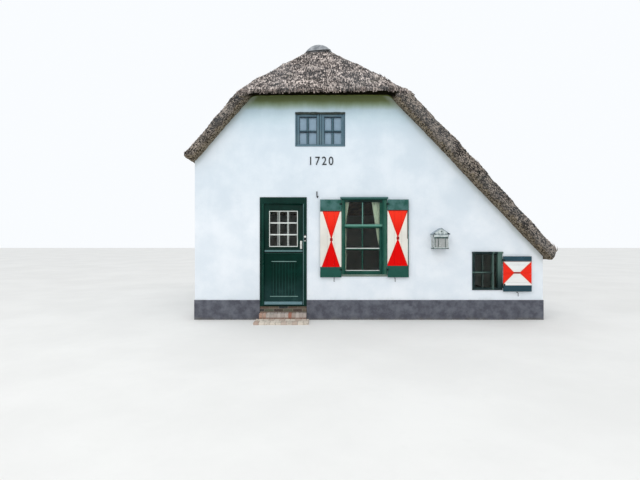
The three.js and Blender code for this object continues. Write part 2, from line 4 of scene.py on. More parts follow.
import bpy
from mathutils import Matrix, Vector


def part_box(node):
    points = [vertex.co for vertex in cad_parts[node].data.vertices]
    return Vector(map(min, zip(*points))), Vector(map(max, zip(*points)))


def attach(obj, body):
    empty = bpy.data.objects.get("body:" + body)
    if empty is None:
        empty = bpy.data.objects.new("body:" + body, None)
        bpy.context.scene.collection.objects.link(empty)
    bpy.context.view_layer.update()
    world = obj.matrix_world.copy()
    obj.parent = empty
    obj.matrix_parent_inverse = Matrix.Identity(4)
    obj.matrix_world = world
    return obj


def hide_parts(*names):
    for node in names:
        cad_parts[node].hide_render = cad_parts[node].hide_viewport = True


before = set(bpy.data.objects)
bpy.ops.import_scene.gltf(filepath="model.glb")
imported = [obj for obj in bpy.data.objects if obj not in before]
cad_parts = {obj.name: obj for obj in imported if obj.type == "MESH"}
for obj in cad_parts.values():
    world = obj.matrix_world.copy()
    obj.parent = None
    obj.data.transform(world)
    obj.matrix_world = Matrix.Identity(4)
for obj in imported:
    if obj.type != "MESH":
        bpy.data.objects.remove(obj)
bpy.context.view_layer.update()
random.seed(11)

facadeY = -4.5  # outer face of the front wall

# Camera and light

cameraSetup = {"place": (0.03, -13.83, 1.77), "lens": 23.625, "sensor": 36.0}
lightSetup = {
    "sky": (0.95, 0.975, 1.0, 1),
    "skyStrength": 1.0,
    "keyPower": 600.0,
    "keySize": 14.0,
    "keyPlace": (-4, -14, 14),
    "keyTurn": (math.radians(45), 0, math.radians(-16)),
}


def makeCamera():
    data = bpy.data.cameras.new("camera")
    data.lens = cameraSetup["lens"]
    data.sensor_width = cameraSetup["sensor"]
    camera = addObject("camera", data)
    camera.location = cameraSetup["place"]
    camera.rotation_euler = (math.radians(90), 0, 0)
    bpy.context.scene.camera = camera


def makeLight():
    bpy.context.scene.view_settings.view_transform = "Standard"  # keeps the paint colours true
    world = bpy.data.worlds.new("studio")
    world.use_nodes = True
    background = world.node_tree.nodes["Background"]
    background.inputs["Color"].default_value = lightSetup["sky"]
    background.inputs["Strength"].default_value = lightSetup["skyStrength"]
    bpy.context.scene.world = world
    data = bpy.data.lights.new("softKey", "AREA")
    data.energy = lightSetup["keyPower"]
    data.size = lightSetup["keySize"]
    key = addObject("softKey", data)
    key.location = lightSetup["keyPlace"]
    key.rotation_euler = lightSetup["keyTurn"]


# Small tools


def addObject(name, data):
    piece = bpy.data.objects.new(name, data)
    bpy.context.scene.collection.objects.link(piece)
    return piece


def pickOnly(piece):
    bpy.ops.object.select_all(action="DESELECT")
    piece.select_set(True)
    bpy.context.view_layer.objects.active = piece


def settle(piece):  # its place goes into its mesh
    pickOnly(piece)
    bpy.ops.object.transform_apply(location=True, rotation=True, scale=True)


def applyModifier(piece, kind, **settings):
    pickOnly(piece)
    modifier = piece.modifiers.new(kind.lower(), kind)
    for key, value in settings.items():
        setattr(modifier, key, value)
    bpy.ops.object.modifier_apply(modifier=modifier.name)


def addShape(name, add, **settings):  # a new piece from one of Blender's own shapes
    bpy.ops.object.select_all(action="DESELECT")
    add(**settings)
    piece = bpy.context.object
    piece.name = name
    return piece


def addBlock(name, low, high, bevel=0.0):
    middle = [(a + b) / 2 for a, b in zip(low, high)]
    piece = addShape(name, bpy.ops.mesh.primitive_cube_add, size=1, location=middle)
    piece.scale = [b - a for a, b in zip(low, high)]
    settle(piece)
    if bevel:
        applyModifier(piece, "BEVEL", width=bevel, segments=2, limit_method="ANGLE")
    return piece


def onFacade(name, x, y, z, bevel=0.0):  # a block given by its spans, Y counted from the wall's face
    return addBlock(name, (x[0], facadeY + y[0], z[0]), (x[1], facadeY + y[1], z[1]), bevel)


def addRod(name, start, end, radius, sides=12):
    start, end = Vector(start), Vector(end)
    size = {"vertices": sides, "radius": radius, "depth": (end - start).length}
    piece = addShape(name, bpy.ops.mesh.primitive_cylinder_add, location=(start + end) / 2, **size)
    piece.rotation_mode = "QUATERNION"
    piece.rotation_quaternion = (end - start).to_track_quat("Z", "Y")
    settle(piece)
    applyModifier(piece, "BEVEL", width=radius * 0.2, segments=2, limit_method="ANGLE")
    return piece


def addTube(name, points, radius):  # a bent rod through a few points
    curve = bpy.data.curves.new(name, "CURVE")
    curve.dimensions = "3D"
    curve.bevel_depth = radius
    curve.bevel_resolution = 3
    curve.use_fill_caps = True
    spline = curve.splines.new("POLY")
    spline.points.add(len(points) - 1)
    for point, place3d in zip(spline.points, points):
        point.co = (*place3d, 1)
    pickOnly(addObject(name, curve))
    bpy.ops.object.convert(target="MESH")
    return bpy.context.object


def joinAll(name, parts):
    bpy.ops.object.select_all(action="DESELECT")
    for part in parts:
        part.select_set(True)
    bpy.context.view_layer.objects.active = parts[0]
    if len(parts) > 1:
        bpy.ops.object.join()
    piece = bpy.context.object
    piece.name = name
    piece.data.name = name
    return piece


def blocks(name, rows):  # one piece made of blocks on the facade, a row for each
    return joinAll(name, [onFacade(name, *row) for row in rows])


def about(middle, wide):
    return middle - wide / 2, middle + wide / 2


def editMesh(piece, *steps):  # mesh operators on the whole piece, each with its settings
    pickOnly(piece)
    bpy.ops.object.mode_set(mode="EDIT")
    for change, settings in steps:
        bpy.ops.mesh.select_all(action="SELECT")
        change(**settings)
    bpy.ops.object.mode_set(mode="OBJECT")


def nodeCopy(name, *nodes, merge=True):
    piece = joinAll(name, [addObject(node + "_copy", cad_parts[node].data.copy()) for node in nodes])
    steps = [(bpy.ops.mesh.remove_doubles, {"threshold": 0.00005})]
    if merge:
        steps.append((bpy.ops.mesh.dissolve_limited, {"angle_limit": math.radians(1)}))
    editMesh(piece, *steps)
    return piece


def dress(piece, material, slot, *nodes, body="house"):
    piece.data.materials.clear()
    piece.data.materials.append(material)
    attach(piece, body)
    if nodes:
        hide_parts(*nodes)
    return piece


def coatNode(node, material):  # a CAD node that keeps its shape gets a better finish
    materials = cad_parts[node].data.materials
    materials.clear()
    materials.append(material)


def smoothByAngle(piece):
    pickOnly(piece)
    bpy.ops.object.shade_smooth_by_angle(angle=math.radians(35))
    return piece


def smoothAll(piece):
    pickOnly(piece)
    bpy.ops.object.shade_smooth()


def tint(piece, value):  # one shade for a whole brick
    shades = piece.data.attributes.new("shade", "FLOAT", "POINT")
    shades.data.foreach_set("value", [value] * len(piece.data.vertices))


# Shader tools


def paint(code):
    channels = [int(code[i : i + 2], 16) / 255 for i in (1, 3, 5)]
    return (*[c / 12.92 if c <= 0.04045 else ((c + 0.055) / 1.055) ** 2.4 for c in channels], 1.0)


def put(kind, feeds, **settings):  # a shader node in the same tree as the sockets that feed it
    tree = next(value.id_data for value in feeds.values() if isinstance(value, bpy.types.NodeSocket))
    node = tree.nodes.new("ShaderNode" + kind)
    for key, value in settings.items():
        setattr(node, key, value)
    for key, value in feeds.items():
        if isinstance(value, bpy.types.NodeSocket):
            tree.links.new(value, node.inputs[key])
        else:  # text is a tone
            node.inputs[key].default_value = paint(value) if isinstance(value, str) else value
    return node


def calc(operation, a, b=0.0):
    return put("Math", {0: a, 1: b}, operation=operation).outputs[0]


def plus(a, b):
    return calc("ADD", a, b)


def minus(a, b):
    return calc("SUBTRACT", a, b)


def times(a, b):
    return calc("MULTIPLY", a, b)


def larger(a, b):
    return calc("MAXIMUM", a, b)


def unsigned(a):
    return calc("ABSOLUTE", a)


def isOver(a, b):
    return calc("GREATER_THAN", a, b)


def isUnder(a, b):
    return calc("LESS_THAN", a, b)


def within(value, low, high):
    above = isOver(value, low)
    return times(above, isUnder(value, high))


def blend(factor, a, b, kind="MIX"):
    return put("Mix", {0: factor, 6: a, 7: b}, data_type="RGBA", blend_type=kind).outputs[2]


def stain(color, mask, share, tone, kind="MIX"):
    return blend(times(mask, share), color, tone, kind)


def spread(value, low, high, out=(0.0, 1.0)):
    feeds = {"Value": value, "From Min": low, "From Max": high, "To Min": out[0], "To Max": out[1]}
    return put("MapRange", feeds, interpolation_type="SMOOTHSTEP").outputs["Result"]


def stretch(vector, scale):
    return put("Mapping", {"Vector": vector, "Scale": scale}).outputs["Vector"]


def noise(vector, scale, detail=3.0, roughness=0.55):
    feeds = {"Vector": vector, "Scale": scale, "Detail": detail, "Roughness": roughness}
    return put("TexNoise", feeds).outputs["Fac"]


def splitAxes(vector):
    return put("SeparateXYZ", {"Vector": vector}).outputs


def shadeOf(coords):  # the shade given to each brick or reed end
    node = coords.id_data.nodes.new("ShaderNodeAttribute")
    node.attribute_name = "shade"
    return node.outputs["Fac"]


def ramp(factor, stops):  # stops are pairs of a position and a tone
    node = put("ValToRGB", {"Fac": factor})
    elements = node.color_ramp.elements
    while len(elements) < len(stops):
        elements.new(0.5)
    for element, (position, tone) in zip(elements, stops):
        element.position = position
        element.color = paint(tone)
    return node.outputs["Color"]


def link(source, target):
    source.id_data.links.new(source, target)


def makeGroup(name, inputs, outputs):  # inputs and outputs are given as a name and its kind
    tree = bpy.data.node_groups.new(name, "ShaderNodeTree")
    for way, sockets in (("INPUT", inputs), ("OUTPUT", outputs)):
        for label, kind in sockets.items():
            tree.interface.new_socket(label, in_out=way, socket_type="NodeSocket" + kind)
    take = tree.nodes.new("NodeGroupInput").outputs
    return tree, take, tree.nodes.new("NodeGroupOutput").inputs


def place(group, feeds):
    return put("Group", feeds, node_tree=group).outputs


def makeMaterial(name, **fixed):
    material = bpy.data.materials.new(name)
    material.use_nodes = True
    nodes = material.node_tree.nodes
    for key, value in fixed.items():
        nodes["Principled BSDF"].inputs[key.replace("_", " ")].default_value = value
    return material, nodes.new("ShaderNodeTexCoord").outputs["Object"]


def finish(material, color, height, bump=0.3, distance=0.01, roughness=None):
    inputs = material.node_tree.nodes["Principled BSDF"].inputs
    link(color, inputs["Base Color"])
    if roughness:
        link(roughness, inputs["Roughness"])
    feeds = {"Height": height, "Strength": bump, "Distance": distance}
    link(put("Bump", feeds).outputs["Normal"], inputs["Normal"])
    return material


# Effects shared by several finishes


def makePaintGroup():  # brushed paint on wood: streaks, faded patches and small chips
    takes = {"Vector": "Vector", "Paint": "Color", "Faded": "Color", "Bare": "Color", "Wear": "Float"}
    gives = {"Color": "Color", "Roughness": "Float", "Height": "Float"}
    tree, take, give = makeGroup("brushedPaint", takes, gives)
    long = stretch(take["Vector"], (1.0, 1.0, 0.12))
    streak = noise(long, 140.0, 4.0, 0.6)
    patch = noise(take["Vector"], 2.6, 4.0, 0.6)
    fade = spread(patch, 0.42, 0.72)
    chip = noise(stretch(take["Vector"], (1.0, 1.0, 0.4)), 46.0, 5.0, 0.7)
    limit = minus(0.82, times(take["Wear"], 0.2))
    chips = spread(chip, limit, plus(limit, 0.03))
    color = blend(fade, take["Paint"], take["Faded"])
    streaks = times(spread(streak, 0.35, 0.7), 0.22)
    color = blend(streaks, color, take["Faded"])
    color = blend(chips, color, take["Bare"])
    dull = times(chips, 0.3)
    link(color, give["Color"])
    link(plus(spread(patch, 0.3, 0.8, (0.26, 0.46)), dull), give["Roughness"])
    link(minus(times(streak, 0.5), chips), give["Height"])
    return tree


def makeGrimeGroup():  # splashed dirt that fades upwards from the ground
    takes = {"Vector": "Vector", "Color": "Color", "Dirt": "Color", "Level": "Float", "Depth": "Float"}
    tree, take, give = makeGroup("groundGrime", takes, {"Color": "Color"})
    height = splitAxes(take["Vector"])["Z"]
    patchy = noise(stretch(take["Vector"], (1, 1, 0.5)), 5.0, 5.0, 0.65)
    top = plus(take["Level"], times(patchy, take["Depth"]))
    mask = spread(minus(top, height), 0.0, take["Depth"])
    mask = times(mask, 0.75)
    link(blend(mask, take["Color"], take["Dirt"]), give["Color"])
    return tree


def makeMottleGroup():  # two colours in soft cloudy patches with fine specks
    takes = {"Vector": "Vector", "Light": "Color", "Dark": "Color", "Scale": "Float", "Specks": "Float"}
    tree, take, give = makeGroup("mottle", takes, {"Color": "Color", "Height": "Float"})
    cloud = noise(take["Vector"], take["Scale"], 6.0, 0.62)
    fine = noise(take["Vector"], times(take["Scale"], 14.0), 3.0, 0.6)
    color = blend(spread(cloud, 0.35, 0.68), take["Dark"], take["Light"])
    speck = times(spread(fine, 0.58, 0.72), take["Specks"])
    link(blend(speck, color, take["Dark"]), give["Color"])
    link(plus(cloud, times(fine, 0.35)), give["Height"])
    return tree


soffits = {"left": {"fall": 1.15, "top": 6.684}, "right": {"fall": 1.045, "top": 6.63}}


def makeSoffitGroup():  # height over the line of the soffits, which the verge finish and the painted shade on the wall follow
    tree, take, give = makeGroup("overSoffit", {"Vector": "Vector"}, {"Height": "Float"})
    axes = splitAxes(take["Vector"])
    left = plus(times(axes["X"], soffits["left"]["fall"]), soffits["left"]["top"])
    right = minus(soffits["right"]["top"], times(axes["X"], soffits["right"]["fall"]))
    link(minus(axes["Z"], calc("MINIMUM", left, right)), give["Height"])
    return tree


brushedPaint = makePaintGroup()
groundGrime = makeGrimeGroup()
mottle = makeMottleGroup()
overSoffit = makeSoffitGroup()


# Finishes


limeLook = {
    "white": "#eef3f8",
    "shade": "#e0e8ef",
    "dampAndShade": "#a9b2ab",
    "hipEave": 4.985,
    # olive algae just under the half-hip's eave, then painted shade of the eave fading down the wall
    "algaeAndEaveShade": [
        (0.12, "#5d673e"), (0.19, "#78886c"), (0.26, "#97a99f"), (0.33, "#b2c5cd"),
        (0.47, "#c6d8e0"), (0.66, "#d8e5ed"), (1.00, "#e2ebf2"), (2.40, "#e6edf3"), (3.00, "#eef3f8"),
    ],
}


def mottled(coords, light, dark, scale, specks):
    feeds = {"Vector": coords, "Light": light, "Dark": dark, "Scale": scale, "Specks": specks}
    return place(mottle, feeds)


def soiled(coords, color, dirt, level, depth):
    feeds = {"Vector": coords, "Color": color, "Dirt": dirt, "Level": level, "Depth": depth}
    return place(groundGrime, feeds)["Color"]


def limeFinish():
    material, coords = makeMaterial("limeWall", Roughness=0.85)
    cloudy = mottled(coords, limeLook["white"], limeLook["shade"], 1.1, 0.05)
    drips = noise(stretch(coords, (1.0, 1.0, 0.06)), 9.0, 4.0, 0.6)
    color = stain(cloudy["Color"], spread(drips, 0.5, 0.8), 0.3, limeLook["shade"])
    axes = splitAxes(coords)
    soft = noise(stretch(coords, (1.0, 1.0, 0.3)), 3.0, 4.0, 0.6)
    below = minus(limeLook["hipEave"], axes["Z"])
    below = plus(below, times(minus(soft, 0.5), 0.12))
    depths = limeLook["algaeAndEaveShade"]
    deepest = depths[-1][0]
    stops = [(depth / deepest, tone) for depth, tone in depths]
    # algae and painted eave shade, by depth below the half-hip's eave
    agedAndShaded = ramp(calc("DIVIDE", below, deepest), stops)
    color = blend(1.0, color, blend(1.0, agedAndShaded, limeLook["white"], "DIVIDE"), "MULTIPLY")
    # a darker band on the wall just under the verges: painted shade
    depth = times(place(overSoffit, {"Vector": coords})["Height"], -1.0)
    band = spread(minus(depth, times(soft, 0.12)), 0.16, -0.02)
    color = stain(color, band, 0.45, limeLook["dampAndShade"])
    color = soiled(coords, color, limeLook["dampAndShade"], 0.4, 0.22)
    fine = times(noise(coords, 38.0, 4.0, 0.6), 0.12)
    uneven = plus(noise(coords, 2.2, 3.0, 0.5), fine)
    return finish(material, color, uneven, 0.35, 0.03)


def tarFinish():
    material, coords = makeMaterial("tarPlinth", Roughness=0.8)
    cloudy = mottled(coords, "#666972", "#4a4b55", 6.0, 0.4)
    color = soiled(coords, cloudy["Color"], "#6f6a5c", 0.0, 0.14)
    return finish(material, color, cloudy["Height"], 0.5, 0.02)


reedLook = {
    "hip": {
        "tones": ("#060505", "#5b504d", "#fdeee4"),
        "steps": (0.452, 0.505, 0.560),
        "clump": {"scale": (5.0, 4.0, 7.0), "share": 0.34},
        "patchy": 0.5,
    },
    "slope": {
        "tones": ("#221d1a", "#7d736c", "#dccfc5"),
        "steps": (0.456, 0.505, 0.552),
        "clump": {"scale": (5.0, 5.0, 5.0), "share": 0.22},
        "patchy": 0.5,
    },
    "verge": {
        "tones": ("#030302", "#38322d", "#b6a99c"),
        "steps": (0.468, 0.505, 0.538),
        "clump": {"scale": (6.0, 5.0, 6.0), "share": 0.3},
        "patchy": 0.15,
    },
    "vergeLine": {"rise": 0.72, "run": 0.69, "grain": (42.0, 24.0, 19.0)},
    "eaveLine": {"soft": (5.16, 4.99), "lip": (4.992, 4.972), "ends": (1.95, 1.70), "uneven": 0.12},
    "underLine": {"besideWall": (4.57, 4.52), "belowHip": (4.95, 4.85), "grain": (30.0, 24.0, 30.0)},
    "grey": "#85898d",
    "moss": "#6b6a55",
    "hollow": "#3d3634",
    "eave": "#5a544e",
    "underShadeDark": "#080705",
    "underShadePale": "#1c190f",
    "underGreen": "#6d7744",
    "brownDark": "#1f1a14",
    "brownPale": "#9a8e7c",
}


def reedColor(coords, along, look):  # bright and dark reed ends, in drifts of grey
    straw = noise(along, 1.0, 5.0, 0.8)
    clump = noise(stretch(coords, look["clump"]["scale"]), 1.0, 5.0, 0.75)
    share = look["clump"]["share"]
    value = plus(times(straw, 1 - share), times(clump, share))
    # the darkest tones are painted shade between the reed ends, the brightest painted highlight on them
    color = ramp(value, list(zip(look["steps"], look["tones"])))
    drift = spread(noise(coords, 0.9, 4.0, 0.6), 0.4, 0.62)
    color = stain(color, drift, 0.2, reedLook["grey"])
    # darker patches: painted shade in the reed's hollows
    hollows = spread(noise(coords, 2.6, 4.0, 0.6), 0.44, 0.3)
    color = stain(color, hollows, look["patchy"], reedLook["hollow"], "MULTIPLY")
    moss = spread(noise(coords, 1.7, 5.0, 0.7), 0.55, 0.72)
    return stain(color, moss, 0.3, reedLook["moss"]), value


def eaveShade(coords, color, value):  # painted shade: the half-hip darkens towards its lip, lower at the left
    axes, line = splitAxes(coords), reedLook["eaveLine"]
    level = minus(axes["Z"], times(axes["X"], hipTilt["slope"]))
    level = plus(level, times(minus(value, 0.5), line["uneven"]))
    over = spread(unsigned(axes["X"]), *line["ends"])
    soft = times(spread(level, *line["soft"]), 0.55)
    color = blend(times(soft, over), color, reedLook["eave"], "MULTIPLY")
    # the lip itself gets the dark tone of the painted shade under the hip
    lip = times(spread(level, *line["lip"]), over)
    return blend(lip, color, reedLook["underShadePale"])


def reedFinish(name, scale, look, eave=False):
    material, coords = makeMaterial(name, Roughness=0.95)
    color, value = reedColor(coords, stretch(coords, scale), look)
    if eave:
        color = eaveShade(coords, color, value)
    return finish(material, color, value, 1.0, 0.05)


def alongVerge(coords):  # across a verge, into it and down its slope
    axes, line = splitAxes(coords), reedLook["vergeLine"]
    across, into, down = line["grain"]
    aside = unsigned(axes["X"])
    height = times(axes["Z"], line["rise"])
    fall = minus(height, times(aside, line["run"]))
    height = times(axes["Z"], line["run"])
    outward = plus(times(aside, line["rise"]), height)
    feeds = {"X": times(outward, across), "Y": times(axes["Y"], into), "Z": times(fall, down)}
    return put("CombineXYZ", feeds).outputs["Vector"]


def vergeFinish():  # brown near the soffit, speckled in the middle, blue grey at the outer rim
    material, coords = makeMaterial("reedVerge", Roughness=0.95)
    color, value = reedColor(coords, alongVerge(coords), reedLook["verge"])
    height = place(overSoffit, {"Vector": coords})["Height"]
    color = stain(color, spread(height, 0.22, 0.02), 0.45, "#4a4030")
    color = stain(color, spread(height, 0.42, 0.62), 0.4, "#5a5e60")
    return finish(material, color, value, 1.0, 0.05)


def underFinish():  # brown under the verges, painted shade nearly black under the hip and green next to the wall
    material, coords = makeMaterial("reedUnder", Roughness=1.0, Specular_IOR_Level=0.0)
    line = reedLook["underLine"]
    straw = noise(stretch(coords, line["grain"]), 1.0, 5.0, 0.8)
    dark = ramp(straw, [(0.4, reedLook["underShadeDark"]), (0.62, reedLook["underShadePale"])])
    brown = ramp(straw, [(0.44, reedLook["brownDark"]), (0.56, reedLook["brownPale"])])
    axes = splitAxes(coords)
    beside = spread(unsigned(axes["Y"]), *line["besideWall"])
    dark = blend(beside, dark, reedLook["underGreen"])
    color = blend(spread(axes["Z"], *line["belowHip"]), dark, brown)
    return finish(material, color, straw, 0.8, 0.03)


def strawFinish():  # single reed ends, each with its own shade
    material, coords = makeMaterial("reedEnds", Roughness=0.95)
    tones = [(0.05, "#2c2623"), (0.45, "#756963"), (0.75, "#b09f96"), (1.0, "#ecdcd2")]
    color = ramp(shadeOf(coords), tones)
    grain = noise(coords, 60.0, 2.0, 0.5)
    color = stain(color, grain, 0.3, "#5d554f")
    return finish(material, color, grain, 0.3, 0.004)


def brushOn(material, coords, color, faded, bare, wear=0.4):  # every painted finish ends with this
    feeds = {"Vector": coords, "Paint": color, "Faded": faded, "Bare": bare, "Wear": wear}
    layer = place(brushedPaint, feeds)
    return finish(material, layer["Color"], layer["Height"], 0.25, 0.002, layer["Roughness"])


def paintFinish(name, main, faded, bare, wear=0.4):
    fixed = {"Coat_Weight": 0.01, "Coat_Roughness": 0.2, "Specular_IOR_Level": 0.12}
    material, coords = makeMaterial(name, **fixed)
    return brushOn(material, coords, main, faded, bare, wear)


def mottledFinish(name, light, dark, scale, roughness, bump=0.4, specks=0.3, metallic=0.0):
    material, coords = makeMaterial(name, Roughness=roughness, Metallic=metallic)
    cloudy = mottled(coords, light, dark, scale, specks)
    return finish(material, cloudy["Color"], cloudy["Height"], bump, 0.006)


def boardFinish(name, light, dark, along):  # bare planed boards, the grain along one axis
    material, coords = makeMaterial(name, Roughness=0.7)
    grain = noise(stretch(coords, along), 1.0, 6.0, 0.65)
    color = blend(spread(grain, 0.38, 0.66), dark, light)
    return finish(material, color, grain, 0.3, 0.003)


def brickFinish(name, stops, mortarDust=0.25, foot=None):  # own shade for each brick, then dust and moss
    material, coords = makeMaterial(name, Roughness=0.9)
    color = ramp(shadeOf(coords), stops)
    if foot:  # painted shade: red brown along the foot of the riser
        footShade = spread(splitAxes(coords)["Z"], foot + 0.045, foot + 0.015)
        color = stain(color, footShade, 0.75, "#7d5c4a")
    rough = noise(coords, 40.0, 6.0, 0.7)
    color = stain(color, spread(rough, 0.5, 0.7), mortarDust, "#b9aca0")
    mossy = spread(noise(coords, 9.0, 5.0, 0.7), 0.52, 0.66)
    color = stain(color, mossy, 0.35, "#5c6046")
    return finish(material, color, rough, 0.7, 0.006)


def glassFinish(name, tint, clear, transmission, roughness=0.03):
    fixed = {"Roughness": roughness, "Transmission_Weight": transmission, "IOR": 1.22}
    material, coords = makeMaterial(name, **fixed)
    ripple = noise(coords, 6.0, 2.0, 0.5)
    return finish(material, blend(ripple, tint, clear), ripple, 0.08, 0.01)


# Reed roof


reedCoat = {"voxel": 0.057, "lumps": 0.025, "dents": 0.016, "ruffle": 0.018, "level": 0.32}
reedNodes = ["thatch_front_hip", "thatch_back_hip", "thatch_left_slope", "thatch_right_slope"]
hipCorners = {"left": (-1.70, 5.0), "right": (1.85, 5.02), "reach": 0.46, "depth": 4.2}
hipTilt = {"slope": 0.017, "from": 4.52, "to": 4.66, "halfWide": 2.1, "low": 4.9, "high": 5.4}


def cloudTexture(name, size, depth=2):
    texture = bpy.data.textures.new(name, "CLOUDS")
    texture.noise_scale = size
    texture.noise_depth = depth
    return texture


def roughen(piece, label, size, strength, level=0.5):
    cloud = cloudTexture(label, size)
    settings = {"texture": cloud, "strength": strength, "mid_level": level, "texture_coords": "LOCAL"}
    applyModifier(piece, "DISPLACE", **settings)


sideLimits = {"under": -0.2, "end": 0.6, "vergeTop": 4.96, "hip": 0.8, "hipFoot": 4.93, "upright": 0.15}


def reedSide(face):  # which of the roof's finishes a face wears
    normal, height, limits = face.normal, face.center.z, sideLimits
    if normal.z < limits["under"]:
        return "under"
    if abs(normal.y) > limits["end"] and height < limits["vergeTop"]:
        return "verge"
    if abs(normal.y) > limits["hip"] * abs(normal.x) and height > limits["hipFoot"]:
        return "hip"
    if normal.z < limits["upright"] and height < limits["hipFoot"]:
        return "verge"
    return "slope"


def roundCorners(piece):  # the eave of each half-hip is dressed round into the verges
    group = piece.vertex_groups.new(name="corners")
    for vertex in piece.data.vertices:
        if abs(vertex.co.y) < hipCorners["depth"]:
            continue
        for side in ("left", "right"):
            x, z = hipCorners[side]
            weight = 1.2 - math.hypot(vertex.co.x - x, vertex.co.z - z) / hipCorners["reach"]
            if weight > 0:
                group.add([vertex.index], min(weight, 1.0), "REPLACE")
    applyModifier(piece, "SMOOTH", factor=0.5, iterations=10, vertex_group="corners")


def tiltEaves(piece):  # the edge of the front half-hip hangs a little lower at its left end
    for vertex in piece.data.vertices:
        x, y, z = vertex.co
        if abs(x) > hipTilt["halfWide"] or not hipTilt["low"] < z < hipTilt["high"]:
            continue
        out = (-y - hipTilt["from"]) / (hipTilt["to"] - hipTilt["from"])
        fade = (hipTilt["high"] - z) / (hipTilt["high"] - hipTilt["low"])
        vertex.co.z += hipTilt["slope"] * x * max(0.0, min(out, 1.0)) * min(1.0, 1.3 * fade)


def makeReedCoat():
    piece = nodeCopy("reed_coat", *reedNodes)
    applyModifier(piece, "REMESH", mode="VOXEL", voxel_size=reedCoat["voxel"])
    roundCorners(piece)
    tiltEaves(piece)
    for label, size in (("lumps", 1.1), ("dents", 0.35), ("ruffle", 0.12)):
        roughen(piece, label, size, reedCoat[label], reedCoat["level"])
    looks = {
        "slope": reedFinish("reedSlope", (11.0, 34.0, 11.0), reedLook["slope"]),
        "hip": reedFinish("reedHip", (40.0, 7.0, 7.0), reedLook["hip"], True),
        "verge": vergeFinish(),
        "under": underFinish(),
    }
    dress(piece, looks["slope"], "reed_thatch", *reedNodes)
    for side in list(looks)[1:]:
        piece.data.materials.append(looks[side])
    order = list(looks)
    for face in piece.data.polygons:
        face.material_index = order.index(reedSide(face))
    smoothAll(piece)
    print("reed coat:", len(piece.data.polygons), "faces")
    return piece


# Butt ends of reed that stand out of the coat: a root in the coat and a blunt end down the slope


reedEnds = {
    "scatter": 0.03,
    "hip": {"long": (0.06, 0.13), "halfWide": (0.008, 0.015), "high": (0.006, 0.013), "share": 0.6},
    "slope": {"long": (0.07, 0.15), "halfWide": (0.009, 0.017), "high": (0.006, 0.013), "share": 0.28},
    "verge": {"long": (0.05, 0.10), "halfWide": (0.006, 0.011), "high": (0.006, 0.012), "share": 0.6},
    "under": {"share": 0.0},
    "fringe": {"low": 5.06, "drop": (0.01, 0.055), "copies": 5},
}


def oneEnd(spot, down, across, normal, size):
    halfWide = random.uniform(*size["halfWide"])
    root = spot - down * random.uniform(*size["long"]) - normal * 0.012
    left = spot + across * halfWide - normal * 0.004
    right = spot - across * halfWide - normal * 0.004
    top = spot + normal * random.uniform(*size["high"])
    return [root, left, right, top]


def makeReedEnds(name, coat, wanted):
    points, sides, shades = [], [], []
    for face in coat.data.polygons:
        side = reedSide(face)
        size = reedEnds[side]
        if not wanted(face, side) or random.random() > size["share"]:
            continue
        normal = face.normal
        down = Vector((0, 0, -1)) + normal * normal.z
        if side == "verge":  # the reeds of a verge lie along its slope
            down = Vector((0.85, 0, -0.53)) if face.center.x > 0 else Vector((-0.75, 0, -0.66))
            down -= normal * down.dot(normal)
        down.normalize()
        across = normal.cross(down)
        fringe = reedEnds["fringe"]
        atEave = side == "hip" and face.center.z < fringe["low"]
        for _ in range(fringe["copies"] if atEave else 1):
            reach = reedEnds["scatter"]
            along = random.uniform(*fringe["drop"]) if atEave else random.uniform(-reach, reach)
            shift = across * random.uniform(-reach, reach) + down * along
            base = len(points)
            points += oneEnd(face.center + shift, down, across, normal, size)
            for corners in ((1, 3, 2), (0, 3, 1), (0, 2, 3), (0, 1, 2)):
                sides.append([base + corner for corner in corners])
            shades += [random.random() * (0.6 if side == "verge" else 1.0)] * 4
    mesh = bpy.data.meshes.new(name)
    mesh.from_pydata(points, [], sides)
    mesh.attributes.new("shade", "FLOAT", "POINT").data.foreach_set("value", shades)
    piece = addObject(name, mesh)
    print(name + ":", len(sides), "triangles")
    return piece


def makeAllReedEnds(coat):
    look = strawFinish()
    regions = {
        "reed_ends_front": lambda face, side: side != "slope" and face.center.y < 0,
        "reed_ends_back": lambda face, side: side != "slope" and face.center.y > 0,
        "reed_ends_left": lambda face, side: side == "slope" and face.center.x < 0,
        "reed_ends_right": lambda face, side: side == "slope" and face.center.x >= 0,
    }
    for name, wanted in regions.items():
        dress(makeReedEnds(name, coat, wanted), look, "reed_thatch")


# Ridge cover


ridgeLook = {
    "radius": 0.43,
    "top": 6.985,
    "outer": 2.70,
    "inner": 2.42,
    "leftFoot": 6.725,
    "rightFoot": 6.805,
}


def ridgeHood(end):  # closes the cover down to the reed at one end of the ridge
    middle = ridgeLook["top"] - ridgeLook["radius"]
    outer, inner = end * ridgeLook["outer"], end * ridgeLook["inner"]
    hood = addRod("hood", (0, outer, middle), (0, inner, middle), ridgeLook["radius"] - 0.004, 64)
    slope = Vector((ridgeLook["leftFoot"] - ridgeLook["rightFoot"], 0, 0.7)).normalized()
    foot = (0, 0, (ridgeLook["leftFoot"] + ridgeLook["rightFoot"]) / 2)
    cut = {"plane_co": foot, "plane_no": slope, "use_fill": True, "clear_inner": True}
    editMesh(hood, (bpy.ops.mesh.bisect, cut))
    return hood


